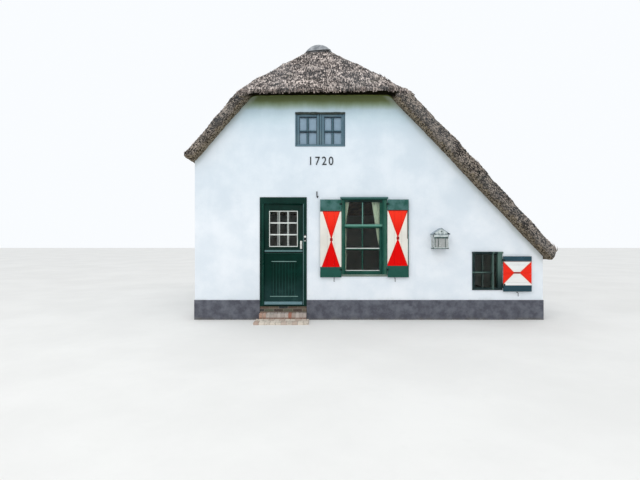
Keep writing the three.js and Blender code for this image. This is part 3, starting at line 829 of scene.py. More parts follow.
def makeRidgeCover():
    cover = nodeCopy("ridge_cover", "ridge_cap")
    cover = joinAll("ridge_cover", [cover, ridgeHood(-1), ridgeHood(1)])
    applyModifier(cover, "REMESH", mode="VOXEL", voxel_size=0.022)
    roughen(cover, "coverDents", 0.3, 0.012)
    roughen(cover, "coverGrain", 0.06, 0.008)
    look = mottledFinish("ridgeCover", "#b6b9bd", "#7e8388", 7.0, 0.85, 0.8, 0.5)
    dress(cover, look, "ridge_cap", "ridge_cap")
    smoothAll(cover)
    print("ridge cover:", len(cover.data.polygons), "faces")
    # a dark rod under each end of the cover's lip: painted shadow line
    shadowLine = mottledFinish("ridgeShadowLine", "#33302c", "#1c1a18", 30.0, 0.8)
    for end, name in ((-1, "front_ridge_shadow_line"), (1, "back_ridge_shadow_line")):
        y = end * (ridgeLook["outer"] + 0.02)
        line = [(-0.34, y, 6.74), (-0.18, y, 6.77), (0.0, y, 6.785), (0.18, y, 6.80), (0.305, y, 6.80)]
        dress(addTube(name, line, 0.012), shadowLine, "ridge_cap")


# Masonry and joinery


def softenNode(node, slot, material, width, merge=True, body="house"):
    piece = nodeCopy(node + "_soft", node, merge=merge)
    angle = math.radians(40)
    applyModifier(piece, "BEVEL", width=width, segments=2, limit_method="ANGLE", angle_limit=angle)
    smoothByAngle(dress(piece, material, slot, node, body=body))


def paintMasonry():
    lime, tar = limeFinish(), tarFinish()
    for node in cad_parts:
        if "wall_" in node and node != "wall_lantern" or "_wall" in node or "gable" in node:
            coatNode(node, lime)
        elif node.startswith("plinth"):
            coatNode(node, tar)


def paintFloors():
    coatNode("ground_floor", mottledFinish("clayFloor", "#a0705a", "#6f4a3c", 2.5, 0.75))
    coatNode("attic_floor", boardFinish("atticBoards", "#a98860", "#6d5237", (7.0, 0.8, 7.0)))


# Bricks of the threshold and the steps


brickTones = {
    "worn": [(0.0, "#a0604c"), (0.3, "#b99888"), (0.5, "#a89a92"), (0.75, "#b9b0ab"), (1.0, "#c9bfb8")],
    "sooty": [(0.0, "#32383d"), (0.4, "#4d4039"), (0.7, "#6b5a4c"), (1.0, "#5a5f52")],
    "pale": [(0.0, "#b99f90"), (0.4, "#cdc1b4"), (1.0, "#ded4c6")],
}
stepLook = {
    "joint": 0.009,
    "bevel": 0.005,
    "threshold": {"brick": (0.205, 0.100, 0.050), "mortar": "#7c766a"},
    "upper_step": {"brick": (0.068, 0.176, 0.154), "mortar": "#b0a59b"},
    "lower_step": {"brick": (0.102, 0.206, 0.046), "mortar": "#c4b9ae"},
}


def layBricks(name, node, size, pickShade, stagger=True):
    low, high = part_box(node)
    joint = stepLook["joint"]
    counts = [max(1, round((high[i] - low[i]) / (size[i] + joint))) for i in range(3)]
    pitch = [(high[i] - low[i] + joint) / counts[i] for i in range(3)]
    bricks = []
    for level in range(counts[2]):
        for row in range(counts[1]):
            half = stagger and (level + row) % 2
            for index in range(counts[0] + (1 if half else 0)):
                left = low[0] + (index - (0.5 if half else 0)) * pitch[0]
                right = min(left + pitch[0] - joint, high[0])
                left = max(left, low[0])
                if right - left < 0.02:
                    continue
                front, base = low[1] + row * pitch[1], low[2] + level * pitch[2]
                sink = random.uniform(0, 0.004)
                start = (left, front + (sink if row == 0 else 0), base)
                end = (right, front + pitch[1] - joint, base + pitch[2] - joint)
                brick = addBlock("brick", start, end, stepLook["bevel"])
                tint(brick, pickShade((left + right) / 2))
                bricks.append(brick)
    return joinAll(name, bricks)


def makeSteps():
    looks = {
        "door_threshold": ("threshold", brickFinish("thresholdBrick", brickTones["sooty"], 0.2)),
        "upper_step": ("upper_step", brickFinish("wornBrick", brickTones["worn"], 0.35, 0.05)),
        "lower_step": ("lower_step", brickFinish("paleBrick", brickTones["pale"], 0.35)),
    }

    def redAtEnds(x):  # pinkish bricks at the left end, red in one spot, grey elsewhere
        if x < -1.12:
            return random.uniform(0.25, 0.36)
        return random.uniform(0.0, 0.1) if abs(x + 0.64) < 0.05 else random.uniform(0.5, 1.0)

    def anyShade(x):
        return random.random()

    for node, (key, look) in looks.items():
        size = stepLook[key]["brick"]
        shade = redAtEnds if key == "upper_step" else anyShade
        bricks = layBricks(key + "_bricks", node, size, shade, key != "upper_step")
        dress(bricks, look, "brick", node)
        low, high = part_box(node)
        inset = 0.006
        start = [value + inset for value in low[:2]] + [low[2]]
        end = [value - inset for value in high]
        bed = addBlock(key + "_mortar", start, end, 0.002)
        mortar = stepLook[key]["mortar"]
        dress(bed, mottledFinish(key + "Mortar", mortar, "#8b8378", 12.0, 0.95), "brick")


# Door


doorLook = {
    "leafFace": 0.036,
    "glazing": {"x": (-1.082, -0.486), "z": (1.639, 2.399)},
    "bar": 0.024,
    "rimBead": 0.017,
    "barBead": (0.028, 0.011),
    "beadGaps": (0.036, 0.025),
    "panel": {"x": (-1.044, -0.502), "z": (0.530, 1.300)},
    "boards": 8,
    "groove": 0.008,
    "green": "#01251e",
    "greenLow": "#1d3a39",
    "fadedAndLit": "#2c524a",
    "grooveTone": "#00120e",
    "faded": "#08342c",
    "fadedLow": "#35504f",
}


def makeGlazingBeads():  # white beads round the nine panes
    (left, right), (low, high) = doorLook["glazing"]["x"], doorLook["glazing"]["z"]
    bar, rim, (flat, thin) = doorLook["bar"], doorLook["rimBead"], doorLook["barBead"]
    face = doorLook["leafFace"]
    upright, level = (face - 0.010, face + 0.002), (face - 0.009, face + 0.002)
    rows = []
    for x in (left - rim / 2 - 0.004, right + rim / 2 + 0.004):
        rows.append((about(x, rim), upright, (low - rim, high + rim), 0.003))
    for z in (low - rim / 2 - 0.004, high + rim / 2 + 0.004):
        rows.append(((left - rim, right + rim), level, about(z, rim), 0.003))
    paneWide = (right - left - 2 * bar) / 3
    paneHigh = (high - low - 2 * bar) / 3
    for index, gap in enumerate(doorLook["beadGaps"]):
        middle = left + (index + 1) * (paneWide + bar) - bar / 2
        for x in about(middle, gap):
            rows.append((about(x, thin), upright, (low, high), 0.002))
        z = low + (index + 1) * (paneHigh + bar) - bar / 2
        rows.append(((left, right), level, about(z, flat), 0.003))
    return smoothByAngle(blocks("glazing_beads", rows))


def doorFinish(name, striped=False):  # paler at the foot and mid-board: faded paint and painted highlight
    material, coords = makeMaterial(name, Specular_IOR_Level=0.06)
    axes = splitAxes(coords)
    low = times(spread(axes["Z"], 1.05, 0.48), 0.8)
    color = blend(low, doorLook["green"], doorLook["greenLow"])
    if striped:
        left, right = doorLook["panel"]["x"]
        half = (right - left) / doorLook["boards"] / 2
        across = calc("PINGPONG", minus(axes["X"], left), half)
        share = plus(times(low, 0.38), 0.12)
        fadedAndLit = times(spread(across, half * 0.3, half * 0.8), share)
        color = blend(fadedAndLit, color, doorLook["fadedAndLit"])
        groove = spread(across, half * 0.35, half * 0.2)
        color = blend(groove, color, doorLook["grooveTone"])
    faded = blend(low, doorLook["faded"], doorLook["fadedLow"])
    return brushOn(material, coords, color, faded, "#5f6f66")


def makePanelBoards():  # upright boards with a groove between
    (left, right), (low, high) = doorLook["panel"]["x"], doorLook["panel"]["z"]
    face = doorLook["leafFace"]
    wide = (right - left) / doorLook["boards"]
    rows = []
    for index in range(doorLook["boards"]):
        start = left + index * wide
        span = (start + doorLook["groove"] / 2, start + wide - doorLook["groove"] / 2)
        rows.append((span, (face + 0.003, face + 0.013), (low, high), 0.003))
    return smoothByAngle(blocks("panel_boards", rows))


def makeDoor(greens, white, steel):
    softenNode("door_frame", "dark_green_paint", greens["dark"], 0.003)
    softenNode("upper_door", "dark_green_paint", greens["dark"], 0.003, body="upper_door")
    leaf = doorFinish("doorFadedAndLit")
    softenNode("lower_door", "dark_green_paint", leaf, 0.003, body="lower_door")
    dress(makeGlazingBeads(), white, "dark_green_paint", body="upper_door")
    dress(makePanelBoards(), doorFinish("doorBoards", True), "dark_green_paint", body="lower_door")
    face = doorLook["leafFace"]
    trims = {
        "drip_rail": ("upper_door", (-1.200, -0.360), (0.0, face), (1.505, 1.546), "pale"),
        "leaf_edge": ("lower_door", (-1.225, -0.345), (face - 0.004, face + 0.001), (1.468, 1.479), "frame"),
        # a near-black strip between the leaves: painted shadow in the gap
        "seam_shadow_strip": ("lower_door", (-1.225, -0.345), (face - 0.001, face + 0.001), (1.479, 1.503), "seam"),
        "panel_head": ("lower_door", (-1.050, -0.496), (face - 0.008, face + 0.001), (1.282, 1.300), "rail"),
        "panel_foot": ("lower_door", (-1.085, -0.460), (face - 0.008, face + 0.001), (0.504, 0.523), "rail"),
    }
    for name, (body, x, y, z, look) in trims.items():
        trim = onFacade(name, x, y, z, 0.0005 if look == "seam" else 0.003)
        dress(trim, greens[look], "dark_green_paint", body=body)
        smoothByAngle(trim)
    board = onFacade("weatherboard", (-1.212, -0.360), (0.0, face), (0.332, 0.398), 0.008)
    dress(board, greens["weather"], "dark_green_paint", body="lower_door")
    # the right moulding is pale as painted highlight, the left one dark green as painted shade
    mouldings = {"left_moulding": ((-1.240, -1.226), "frame"), "right_moulding": ((-0.346, -0.332), "pale")}
    for name, (x, look) in mouldings.items():
        moulding = onFacade(name, x, (-0.024, -0.012), (0.330, 2.570), 0.004)
        dress(moulding, greens[look], "dark_green_paint")
    softenNode("door_handle", "steel", steel["pale"], 0.002, body="upper_door")
    softenNode("doorbell", "steel", steel["dark"], 0.002)
    bell = {"segments": 24, "ring_count": 12, "radius": 0.025, "location": (-0.301, facadeY - 0.030, 1.845)}
    dome = addShape("bell_button", bpy.ops.mesh.primitive_uv_sphere_add, **bell)
    dome.scale = (1, 0.6, 1)
    settle(dome)
    dress(dome, steel["pale"], "steel")
    smoothAll(dome)
    foot = onFacade("bell_foot", (-0.321, -0.281), (-0.034, -0.025), (1.745, 1.757), 0.002)
    dress(foot, steel["pale"], "steel")
    print("door is dressed")


# Shutters: boards, a raised band at each end, and ledges behind


shutterLook = {
    "front": -0.055,
    "board": (-0.050, -0.033),
    "ledge": (-0.0335, -0.025),
    "green": "#1b4941",
    "rim": "#c01812",
    "dot": "#96151a",
    "under": "#4a1814",
    "main": {"band": "#25544a", "bandTop": "#4d7370", "cream": "#e9e6dd", "red": ("#e80000", "#f83420")},
    "small": {"band": "#2c4853", "bandTop": "#33505e", "cream": "#f0f1ef", "red": ("#f6301e", "#f6301e")},
    "line": "#f8dfcf",
}


def crisp(value):  # the sharp edge of a painted field
    return spread(value, -0.0015, 0.0015)


def shutterFinish(name, inside, tones, middle):  # inside gives the red, its line, the dot and the bands
    material, coords = makeMaterial(name, Coat_Roughness=0.25, Specular_IOR_Level=0.08)
    axes = splitAxes(coords)
    red, line, dot, band = inside(axes["X"], axes["Z"])
    redTone = blend(spread(axes["Z"], 1.70, 2.42), *tones["red"])
    color = blend(crisp(line), tones["cream"], shutterLook["line"])
    color = blend(crisp(red), color, shutterLook["rim"])
    color = blend(spread(red, 0.004, 0.022), color, redTone)
    color = blend(crisp(dot), color, shutterLook["dot"])
    above = isOver(axes["Z"], middle)
    weathered = spread(noise(coords, 7.0, 3.0, 0.6), 0.75, 0.35)
    top = times(weathered, above)
    green = blend(top, tones["band"], tones["bandTop"])
    # painted shadow under the raised top band
    under = times(spread(band, -0.020, -0.016), above)
    color = stain(color, under, 0.8, shutterLook["under"], "MULTIPLY")
    color = blend(crisp(band), color, green)
    back = spread(axes["Y"], facadeY - 0.042, facadeY - 0.040)
    color = blend(back, color, shutterLook["green"])
    darker = blend(0.10, color, (0.12, 0.08, 0.07, 1), "MULTIPLY")
    return brushOn(material, coords, color, darker, "#9b8f80", 0.25)


def hourglass(middle, halves, shift, apex, top, low, edge):  # two red triangles that meet at the apex
    def inside(x, z):
        up = calc("DIVIDE", minus(z, apex), top - apex)
        down = calc("DIVIDE", minus(apex, z), apex - low)
        wide = times(up, halves[0])
        limit = larger(wide, times(down, halves[1]))
        limit = larger(limit, 0.015)
        center = plus(times(larger(down, 0.0), shift), middle)
        aside = unsigned(minus(x, center))
        red = minus(limit, aside)
        line = plus(red, 0.016)
        over = unsigned(minus(z, apex))
        dot = minus(0.031, larger(aside, over))
        bands = larger(minus(z, top), minus(low, z))
        return red, line, dot, larger(bands, minus(x, edge))

    return inside


lyingGlass = {"ends": (4.075, 4.712), "points": (4.327, 4.438), "half": 0.258, "middle": 1.045}
lyingBands = (0.768, 1.306)


def sidewaysGlass(x, z):  # the same pattern lying down, with a bar between the points
    (start, end), (left, right) = lyingGlass["ends"], lyingGlass["points"]
    toLeft = calc("DIVIDE", minus(left, x), left - start)
    toRight = calc("DIVIDE", minus(x, right), end - right)
    limit = times(larger(toLeft, toRight), lyingGlass["half"])
    aside = unsigned(minus(z, lyingGlass["middle"]))
    red = minus(limit, aside)
    line = plus(minus(larger(limit, 0.0), aside), 0.022)
    off = unsigned(minus(x, (left + right) / 2))
    between = minus((right - left) / 2 + 0.012, off)
    bar = calc("MINIMUM", minus(0.017, aside), between)
    bands = larger(minus(z, lyingBands[1]), minus(lyingBands[0], z))
    return red, line, bar, bands


def makeShutter(node, axisX, direction, z, bands, lying):
    low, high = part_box(node)
    left, right = (low[0], axisX - 0.012) if direction < 0 else (axisX + 0.012, high[0])
    rows = []
    count = 4 if lying else 3
    start, end = (z[0], z[1]) if lying else (left, right)
    wide = (end - start) / count
    for index in range(count):
        span = (start + index * wide + 0.0008, start + (index + 1) * wide - 0.0008)
        x, height = ((left, right), span) if lying else (span, z)
        rows.append((x, shutterLook["board"], height, 0.003))
    face = (shutterLook["front"], shutterLook["board"][0] + 0.001)
    rows += [((left, right), face, band, 0.002) for band in bands]
    ledges = shutterLook["ledge"]
    if lying:
        for x in ((left + 0.06, left + 0.15), (right - 0.15, right - 0.06)):
            rows.append((x, ledges, (z[0] + 0.02, z[1] - 0.02), 0.003))
    else:
        for base in (z[0] + 0.1, (z[0] + z[1]) / 2 - 0.05, z[1] - 0.2):
            rows.append(((left + 0.015, right - 0.015), ledges, (base, base + 0.1), 0.003))
    return smoothByAngle(blocks(node + "_boards", rows))


def makeHinges(name, axisX, direction, hinges):
    middle = (shutterLook["front"] + shutterLook["ledge"][1]) / 2
    parts = []
    for height in hinges:
        low, high = height + 0.0002, height + 0.05
        parts.append(addRod("barrel", (axisX, facadeY + middle, low), (axisX, facadeY + middle, high), 0.008))
        arm = sorted([axisX, axisX + direction * 0.016])
        depth = (middle - 0.004, middle + 0.004)
        parts.append(onFacade("arm", arm, depth, (low + 0.001, high - 0.001), 0.001))
        strap = sorted([axisX + direction * 0.013, axisX + direction * 0.052])
        parts.append(onFacade("strap", strap, (-0.0575, -0.0545), (low + 0.008, high - 0.008), 0.001))
    return joinAll(name, parts)


def makeShutters(hingePaint):
    left = hourglass(0.280, (0.197, 0.203), -0.010, 1.779, 2.412, 1.174, 9.0)
    right = hourglass(1.751, (0.221, 0.233), -0.012, 1.812, 2.430, 1.200, 1.972)
    main, small = (0.945, 2.665), (0.63, 1.41)
    plans = {
        "left_shutter": (0.515, -1, main, ((2.415, 2.665), (0.945, 1.170)), (1.09, 2.54), left, False),
        "right_shutter": (1.51, 1, main, ((2.433, 2.665), (0.945, 1.196)), (1.09, 2.54), right, False),
        "small_shutter": (4.07, 1, small, ((1.308, 1.41), (0.63, 0.766)), (0.76, 1.3), sidewaysGlass, True),
    }
    for node, (axisX, direction, z, bands, hinges, pattern, lying) in plans.items():
        shutter = makeShutter(node, axisX, direction, z, bands, lying)
        tones = shutterLook["small" if lying else "main"]
        boardPaint = shutterFinish(node + "Paint", pattern, tones, 1.05 if lying else 1.8)
        dress(shutter, boardPaint, "shutter_paint", node, body=node)
        dress(makeHinges(node + "_hinges", axisX, direction, hinges), hingePaint, "steel", body=node)
    print("shutters are made")


# Windows


sashLook = {
    "stile": "#0e4537",
    "rail": "#5f9182",
    "bar": "#5d8b80",
    "faded": "#5a8c7e",
    "shadow": "#0b211e",
    "railTop": 2.119,
    "railFoot": 2.074,
    "headFoot": 2.600,
    "barX": 0.9765,
    "barHalf": 0.018,
    "bare": "#9aa79d",
}


def sashFinish():  # the meeting rail and the bar over it are paler than the stiles; painted shadow under the head
    material, coords = makeMaterial("sashGreen", Specular_IOR_Level=0.12)
    axes, look = splitAxes(coords), sashLook
    aside = unsigned(minus(axes["X"], look["barX"]))
    color = blend(isUnder(aside, look["barHalf"]), look["stile"], look["bar"])
    color = blend(isOver(axes["Z"], look["headFoot"]), color, look["shadow"])
    color = blend(isUnder(axes["Z"], look["railTop"]), color, look["rail"])
    color = blend(isUnder(axes["Z"], look["railFoot"]), color, look["stile"])
    faded = blend(0.3, color, look["faded"])
    return brushOn(material, coords, color, faded, look["bare"])


atticLook = {
    "lights": {
        "left": {"x": ((-0.418, -0.269), (-0.216, -0.051)), "edge": (-0.045, 0.0175)},
        "right": {"x": ((0.136, 0.284), (0.338, 0.498)), "edge": (0.0185, 0.066)},
    },
    "rows": ((3.903, 4.159), (4.206, 4.488)),
    "joints": (-0.489, 0.570),
    "groove": 0.009,
    "dark": "#1d3340",
    "stile": "#55707e",
    "bar": "#43616d",
    "faded": "#8f9f9a",
}


def casementFinish():  # the glazing bars are darker than the stiles and rails
    material, coords = makeMaterial("casementGrey", Specular_IOR_Level=0.12)
    axes = splitAxes(coords)
    (low, barLow), (barHigh, high) = atticLook["rows"]
    bars = 0.0
    for light in atticLook["lights"].values():
        (start, barLeft), (barRight, end) = light["x"]
        cross = larger(within(axes["X"], barLeft, barRight), within(axes["Z"], barLow, barHigh))
        bars = plus(bars, times(cross, within(axes["X"], start, end)))
    bars = times(bars, within(axes["Z"], low, high))
    color = blend(bars, atticLook["stile"], atticLook["bar"])
    faded = blend(0.3, color, atticLook["faded"])
    return brushOn(material, coords, color, faded, atticLook["faded"])


def makeAtticShadowLines():  # dark strips of painted shadow in the rebates over the panes and in the joints round the casements
    groove = atticLook["groove"]
    rows = []
    for light in atticLook["lights"].values():
        span = (light["x"][0][0] - 0.012, light["x"][1][1] + 0.008)
        for row in atticLook["rows"]:
            rows.append((span, (0.003, 0.012), (row[1] - 0.004, row[1] + 0.025)))
        tall = (atticLook["rows"][0][0], atticLook["rows"][1][1])
        for x in (light["x"][0][0] - 0.007, light["x"][0][1] + 0.007, light["x"][1][0] - 0.007):
            rows.append(((x - 0.004, x + 0.004), (0.0032, 0.011), tall))
        for x in light["edge"]:
            rows.append((about(x, groove), (0.0035, 0.010), (3.888, 4.566)))
    for x in atticLook["joints"]:
        rows.append((about(x, groove), (-0.0112, -0.005), (3.860, 4.566)))
    shadowLines = blocks("attic_shadow_lines", rows)
    shadow = mottledFinish("rebateShadow", atticLook["dark"], "#101d26", 20.0, 0.9)
    dress(shadowLines, shadow, "grey_green_paint")


smallWindowLook = {
    "main": "#0d2023",
    "pale": "#567068",
    "bar": "#3a4c47",
    "mullion": (3.854, 3.890),
    "jamb": 3.968,
    "jambFade": (0.70, 1.35),
    "level": (1.037, 1.067),
    "barWorn": (3.88, 3.55),
    "upright": (3.645, 3.661),
    "lights": ((0.711, 1.039), (1.065, 1.451)),
}


def smallWindowFinish():  # nearly black, weathered grey on the mullion, the outer jamb and the bar; the jamb darkens downwards, partly painted shade
    look = smallWindowLook
    material, coords = makeMaterial("smallWindowGreen", Specular_IOR_Level=0.12)
    axes = splitAxes(coords)
    mullion = times(within(axes["X"], *look["mullion"]), 0.7)
    jamb = times(isOver(axes["X"], look["jamb"]), spread(axes["Z"], *look["jambFade"]))
    bar = times(within(axes["Z"], *look["level"]), spread(axes["X"], *look["barWorn"]))
    weathered = larger(mullion, larger(jamb, bar))
    color = blend(weathered, look["main"], look["pale"])
    faded = blend(0.2, color, look["pale"])
    return brushOn(material, coords, color, faded, "#5f6f66")


def makeWindows(greens, white):
    softenNode("main_window_frame", "green_paint", greens["frame"], 0.0005, False)
    softenNode("lower_sash", "green_paint", greens["frame"], 0.003)
    softenNode("main_window_head", "green_paint", greens["head"], 0.006)
    softenNode("upper_sash", "green_paint", sashFinish(), 0.004)
    for name in ("back_window_1", "back_window_2", "side_window_1", "side_window_2"):
        softenNode(name + "_frame", "green_paint", greens["frame"], 0.003)
    softenNode("small_window_frame", "dark_green_paint", smallWindowFinish(), 0.003)
    rows = [(smallWindowLook["upright"], (0.020, 0.045), z, 0.002) for z in smallWindowLook["lights"]]
    bar = paintFinish("smallBarGreen", smallWindowLook["bar"], "#51645e", "#7f8f84")
    dress(blocks("small_window_bar", rows), bar, "dark_green_paint")
    casement = casementFinish()
    for node in ("attic_left_casement", "attic_right_casement"):
        softenNode(node, "grey_green_paint", casement, 0.003)
    for node in ("attic_window_frame", "back_attic_frame"):
        softenNode(node, "grey_green_paint", greens["greyFrame"], 0.003)
    width, front = (0.597, 1.356), (-0.0198, -0.0176)
    trims = {
        # white strips along the lower sash's bar and foot rail: painted highlight on their tops
        "sash_bar_highlights": (
            white, [(width, (0.042, 0.0485), z, 0.002) for z in ((1.575, 1.594), (1.083, 1.098))]
        ),
        "jamb_edges": (
            greens["jamb"], [(x, front, (1.012, 2.650), 0.0005) for x in ((0.512, 0.546), (1.458, 1.513))]
        ),
        # a pale strip on the sill's edge: painted highlight
        "sill_edge_highlight": (greens["sill"], [((0.510, 1.515), (-0.0204, -0.0176), (0.964, 1.007), 0.001)]),
        "head_fillet": (greens["pale"], [((0.486, 1.530), (-0.066, -0.0595), (2.702, 2.722), 0.002)]),
    }
    for name, (look, rows) in trims.items():
        dress(blocks(name, rows), look, "green_paint")
    makeAtticShadowLines()
    flashing = onFacade("attic_flashing", (-0.524, 0.591), (-0.016, 0.020), (4.556, 4.606))
    editMesh(flashing, (bpy.ops.mesh.subdivide, {"number_cuts": 24}))
    roughen(flashing, "flashingWave", 0.22, 0.034)
    lead = mottledFinish("darkLead", "#2e3a33", "#161f19", 12.0, 0.7)
    dress(flashing, lead, "grey_green_paint")


def makeGlass():
    clear = glassFinish("clearGlass", "#e6f0e6", "#f4f9f3", 1.0)
    # the attic panes' pale blue grey is painted reflection of the sky
    paintedSkyGlass = glassFinish("skyGlass", "#90a9bc", "#a2bacb", 0.25, 0.12)
    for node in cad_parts:
        if node.endswith("glass"):
            coatNode(node, paintedSkyGlass if "attic" in node else clear)


# Curtains: pleated cloth on the rail, drawn aside


curtainLook = {
    "middle": facadeY + 0.135,
    "wave": 0.011,
    "top": 2.6395,
    "foot": 1.032,
    "thick": 0.0016,
    "columnsPerPleat": 8,
    "rows": 40,
    "right": {
        "pleats": 7,
        "outer": 1.434,
        "inner": [(2.64, 1.192), (1.752, 1.332), (1.56, 1.390), (1.03, 1.390)],
    },
    "left": {"pleats": 4, "outer": 0.588, "inner": [(2.64, 0.688), (2.23, 0.626), (1.03, 0.622)]},
}


def edgeAt(edge, height):
    for (high, first), (low, second) in zip(edge, edge[1:]):
        if low <= height <= high:
            return second + (first - second) * (height - low) / (high - low)
    return edge[-1][1]


def makeCurtain(name, side):
    plan = curtainLook[side]
    columns = plan["pleats"] * curtainLook["columnsPerPleat"]
    grid = {"x_subdivisions": columns, "y_subdivisions": curtainLook["rows"], "size": 1}
    cloth = addShape(name, bpy.ops.mesh.primitive_grid_add, **grid)
    top, foot = curtainLook["top"], curtainLook["foot"]
    for vertex in cloth.data.vertices:
        across, along = vertex.co.x + 0.5, vertex.co.y + 0.5
        height = foot + (top - foot) * along
        inner = edgeAt(plan["inner"], height)
        turn = 2 * math.pi * plan["pleats"] * across + 0.5 * math.sin(3.0 * height)
        vertex.co.x = plan["outer"] + (inner - plan["outer"]) * across
        vertex.co.y = curtainLook["middle"] + curtainLook["wave"] * math.sin(turn)
        vertex.co.z = height
    editMesh(cloth, (bpy.ops.mesh.normals_make_consistent, {"inside": False}))
    applyModifier(cloth, "SOLIDIFY", thickness=curtainLook["thick"], offset=0.0)
    bpy.ops.object.shade_smooth()
    return cloth


def makeCurtains():
    material, coords = makeMaterial("curtainCloth", Roughness=0.9, Sheen_Weight=0.2)
    weave = noise(stretch(coords, (1.0, 1.0, 0.3)), 500.0, 2.0, 0.6)
    soft = noise(coords, 5.0, 3.0, 0.5)
    color = blend(soft, "#eaf2e0", "#f8fbf1")
    finish(material, color, weave, 0.3, 0.0006)
    sizes = {"right": (0.38, 1.61), "left": (0.20, 1.61)}
    for side, flat in sizes.items():
        name = "curtain_" + side
        cloth = makeCurtain(name + "_cloth", side)
        dress(cloth, material, "curtain_cloth", name)
    print("curtains are hung")


# Wall lantern


lanternLook = {
    "x": (2.500, 2.830),
    "depth": 0.200,
    "z": (1.575, 1.890),
    "apex": (2.670, 2.028),
    "bar": 0.012,
    "uprights": (2.528, 2.600, 2.752),
}


def makeLantern(metal, dark, roof):
    (left, right), depth, (low, high) = lanternLook["x"], lanternLook["depth"], lanternLook["z"]
    bar, apex = lanternLook["bar"], lanternLook["apex"]
    span, tall = (left, right), (low, high)
    rows = [((x, x + bar), (y, y + bar), tall, 0.002) for x in (left, right - bar) for y in (-depth, -0.014)]
    for band in ((high - 0.052, high - 0.052 + 0.05), (low + 0.016, low + 0.016 + 0.014)):
        rows.append((span, (-depth, -depth + 0.006), band, 0.001))
        rows += [((x, x + 0.006), (-depth, -0.002), band, 0.001) for x in (left, right - 0.006)]
    rows.append((span, (-0.005, -0.0005), tall, 0.001))
    smoothByAngle(dress(blocks("lantern_frame", rows), metal, "lantern_metal", "wall_lantern"))
    sheets = []
    eaves = ((left - 0.025, high + 0.006), (right + 0.033, high + 0.006))
    for corner in eaves:
        sheet = addBlock("sheet", (-0.5, -0.5, -0.5), (0.5, 0.5, 0.5))
        run, rise = corner[0] - apex[0], corner[1] - apex[1]
        sheet.scale = (math.hypot(run, rise), depth + 0.018, 0.005)
        sheet.rotation_euler = (0, -math.atan2(rise, run), 0)
        sheet.location = (apex[0] + run / 2, facadeY - (depth + 0.018) / 2 - 0.001, apex[1] + rise / 2)
        settle(sheet)
        sheets.append(sheet)
    collar = (left - 0.02, right + 0.028)
    sheets.append(onFacade("collar", collar, (-depth - 0.012, -0.002), (high - 0.003, high + 0.005), 0.001))
    dress(joinAll("lantern_roof", sheets), roof, "lantern_metal")
    edge = (left - 0.006, right + 0.002)
    tray = onFacade("lantern_tray", edge, (-depth - 0.006, -0.002), (low, low + 0.017), 0.003)
    dress(tray, dark, "lantern_metal")
    front = (-depth, -depth + 0.007)
    rows = [((x, x + 0.011), front, (low + 0.03, high - 0.05), 0.001) for x in lanternLook["uprights"]]
    rows.append(((left - 0.001, left + 0.002), (-depth + 0.013, -depth + 0.03), tall, 0.0005))
    front = (-depth - 0.004, -depth + 0.002)
    for x in (left + 0.004, left + 0.075, left + 0.155, right - 0.09):
        rows.append(((x + 0.012, x + 0.06), front, (high + 0.001, high + 0.017), 0.001))
    # a dark strip under the top band: painted shadow
    front = (-depth + 0.002, -depth + 0.005)
    rows.append(((left + 0.014, right - 0.014), front, (high - 0.088, high - 0.052), 0.001))
    slotsAndShadow = blocks("lantern_slots_and_shadow", rows)
    face = facadeY - depth
    vent = addRod("vent", (2.672, face - 0.006, 1.952), (2.672, face + 0.01, 1.952), 0.016)
    dress(joinAll("lantern_slots_and_shadow", [slotsAndShadow, vent]), dark, "lantern_metal")
    gable = onFacade("gable", (left + 0.03, right - 0.03), (-depth, -depth + 0.003), (high, apex[1] - 0.01))
    cut = {"plane_co": (apex[0], 0, apex[1] - 0.004), "use_fill": True, "clear_outer": True}
    steps = []
    for corner in eaves:
        run, rise = corner[0] - apex[0], corner[1] - apex[1]
        normal = Vector((-rise, 0, run)) if run > 0 else Vector((rise, 0, -run))
        steps.append((bpy.ops.mesh.bisect, {"plane_no": normal, **cut}))
    editMesh(gable, *steps)
    dress(gable, metal, "lantern_metal")
    tall = (low + 0.018, high - 0.05)
    rows = [((left + 0.008, right - 0.008), (-depth + 0.007, -depth + 0.009), tall)]
    rows += [((x, x + 0.002), (-depth + 0.01, -0.008), tall) for x in (left + 0.004, right - 0.006)]
    frosted = glassFinish("lanternGlass", "#d9dcda", "#e8ebea", 0.6, 0.25)
    dress(blocks("lantern_panes", rows), frosted, "window_glass")
    socket = addRod("lamp", (2.665, facadeY - 0.1, low + 0.02), (2.665, facadeY - 0.1, low + 0.16), 0.022, 20)
    applyModifier(socket, "BEVEL", width=0.006, segments=3, limit_method="ANGLE")
    dress(socket, mottledFinish("opalLamp", "#e8e6df", "#cfccc4", 20.0, 0.4), "window_glass")
    print("lantern is made")


# Year, hook and hold-backs


yearLook = {"text": "1720", "x": (-0.190, 0.327), "z": (3.434, 3.621), "depth": 0.008}


def makeYear(iron):
    bpy.ops.object.select_all(action="DESELECT")
    bpy.ops.object.text_add()
    text = bpy.context.object
    text.data.body = yearLook["text"]
    text.data.extrude = yearLook["depth"] / 2
    text.data.space_character = 1.3
    text.data.offset = 0.003
    bpy.ops.object.convert(target="MESH")
    digits = bpy.context.object
    digits.name = "year_numerals"
    xs = [vertex.co.x for vertex in digits.data.vertices]
    ys = [vertex.co.y for vertex in digits.data.vertices]
    (left, right), (low, high) = yearLook["x"], yearLook["z"]
    wide, tall = (right - left) / (max(xs) - min(xs)), (high - low) / (max(ys) - min(ys))
    digits.scale = (wide, tall, 1)
    digits.rotation_euler = (math.radians(90), 0, 0)
    digits.location = (left - min(xs) * wide, facadeY - yearLook["depth"] / 2 - 0.0004, low - min(ys) * tall)
    settle(digits)
    editMesh(digits, (bpy.ops.mesh.remove_doubles, {"threshold": 0.0001}))
    dress(digits, iron, "steel")


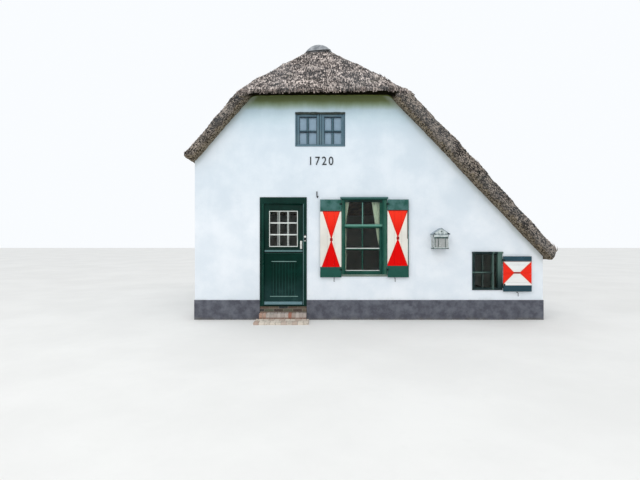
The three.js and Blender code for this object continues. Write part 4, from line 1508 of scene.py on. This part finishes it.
def makeIronwork(iron):
    wall = facadeY
    hook = addTube("wall_hook", [
        (-0.040, wall + 0.02, 2.838), (-0.040, wall - 0.030, 2.836), (-0.039, wall - 0.046, 2.815),
        (-0.038, wall - 0.046, 2.740), (-0.034, wall - 0.044, 2.716), (-0.024, wall - 0.040, 2.708),
        (-0.016, wall - 0.036, 2.722), (-0.015, wall - 0.034, 2.742),
    ], 0.011)
    dress(hook, iron, "steel")
    stays = {
        "left_hold_back": (0.340, 0.926),
        "right_hold_back": (1.687, 0.926),
        "small_hold_back": (4.40, 0.606),
    }
    for name, (x, z) in stays.items():
        stay = addTube(name, [
            (x, wall + 0.02, z), (x, wall - 0.060, z), (x, wall - 0.066, z - 0.008),
            (x, wall - 0.066, z - 0.065), (x, wall - 0.074, z - 0.075),
        ], 0.007)
        dress(stay, iron, "steel")


makeCamera()
makeLight()
floor = addShape("floor", bpy.ops.mesh.primitive_plane_add, size=160, location=(0, 0, 0))
floor.data.materials.append(mottledFinish("paleFloor", "#ecebe8", "#e6e5e2", 0.4, 0.9, 0.0))
print("camera, light and floor are set")

paintMasonry()
paintFloors()
coat = makeReedCoat()
makeAllReedEnds(coat)
makeRidgeCover()
print("roof is thatched")

greens = {
    "dark": paintFinish("doorGreen", doorLook["green"], doorLook["faded"], "#5f6f66"),
    "frame": paintFinish("frameGreen", "#14473c", "#255a4d", "#7f8f84"),
    "head": paintFinish("headGreen", "#35605a", "#47716b", "#7f8f84"),
    "pale": paintFinish("edgeGreen", "#567576", "#6b8889", "#a4b0aa"),
    "seam": paintFinish("seamShadow", "#010b09", "#03120f", "#0b1c18"),
    "rail": paintFinish("railGreen", "#6b8c86", "#83a09b", "#b5c2bd"),
    "jamb": paintFinish("jambGreen", "#2f5d4e", "#42705f", "#8f9f94"),
    "sill": paintFinish("sillGreen", "#6c7b70", "#7d8b80", "#a4b0a4"),
    "greyFrame": paintFinish("greyFrame", "#5a7582", "#6a838e", "#8f9f9a"),
    "weather": paintFinish("weatherGreen", "#698990", "#7f9ba2", "#aab5b5"),
}
white = paintFinish("beadWhite", "#dfe4df", "#c3cbc5", "#8a918c", 0.3)
steel = {
    "pale": mottledFinish("paleFitting", "#f1f1ec", "#dcdcd5", 30.0, 0.35, 0.1),
    "dark": mottledFinish("darkFitting", "#3a4144", "#22282a", 30.0, 0.4, 0.1, 0.3, 0.6),
}
iron = mottledFinish("blackIron", "#2d3034", "#17191c", 40.0, 0.5, 0.3, 0.3, 0.5)
makeSteps()
makeDoor(greens, white, steel)
makeWindows(greens, white)
makeGlass()
makeShutters(paintFinish("hingeBlack", "#14241f", "#22342e", "#5b5f58"))
makeCurtains()
makeLantern(
    mottledFinish("lanternZinc", "#dde5e4", "#afbbbb", 25.0, 0.5, 0.2, 0.3, 0.2),
    mottledFinish("lanternDark", "#4d6462", "#333f3d", 25.0, 0.5, 0.2, 0.3, 0.2),
    mottledFinish("lanternRoof", "#a6b3ba", "#808e96", 25.0, 0.5, 0.2, 0.3, 0.2),
)
makeYear(iron)
makeIronwork(iron)
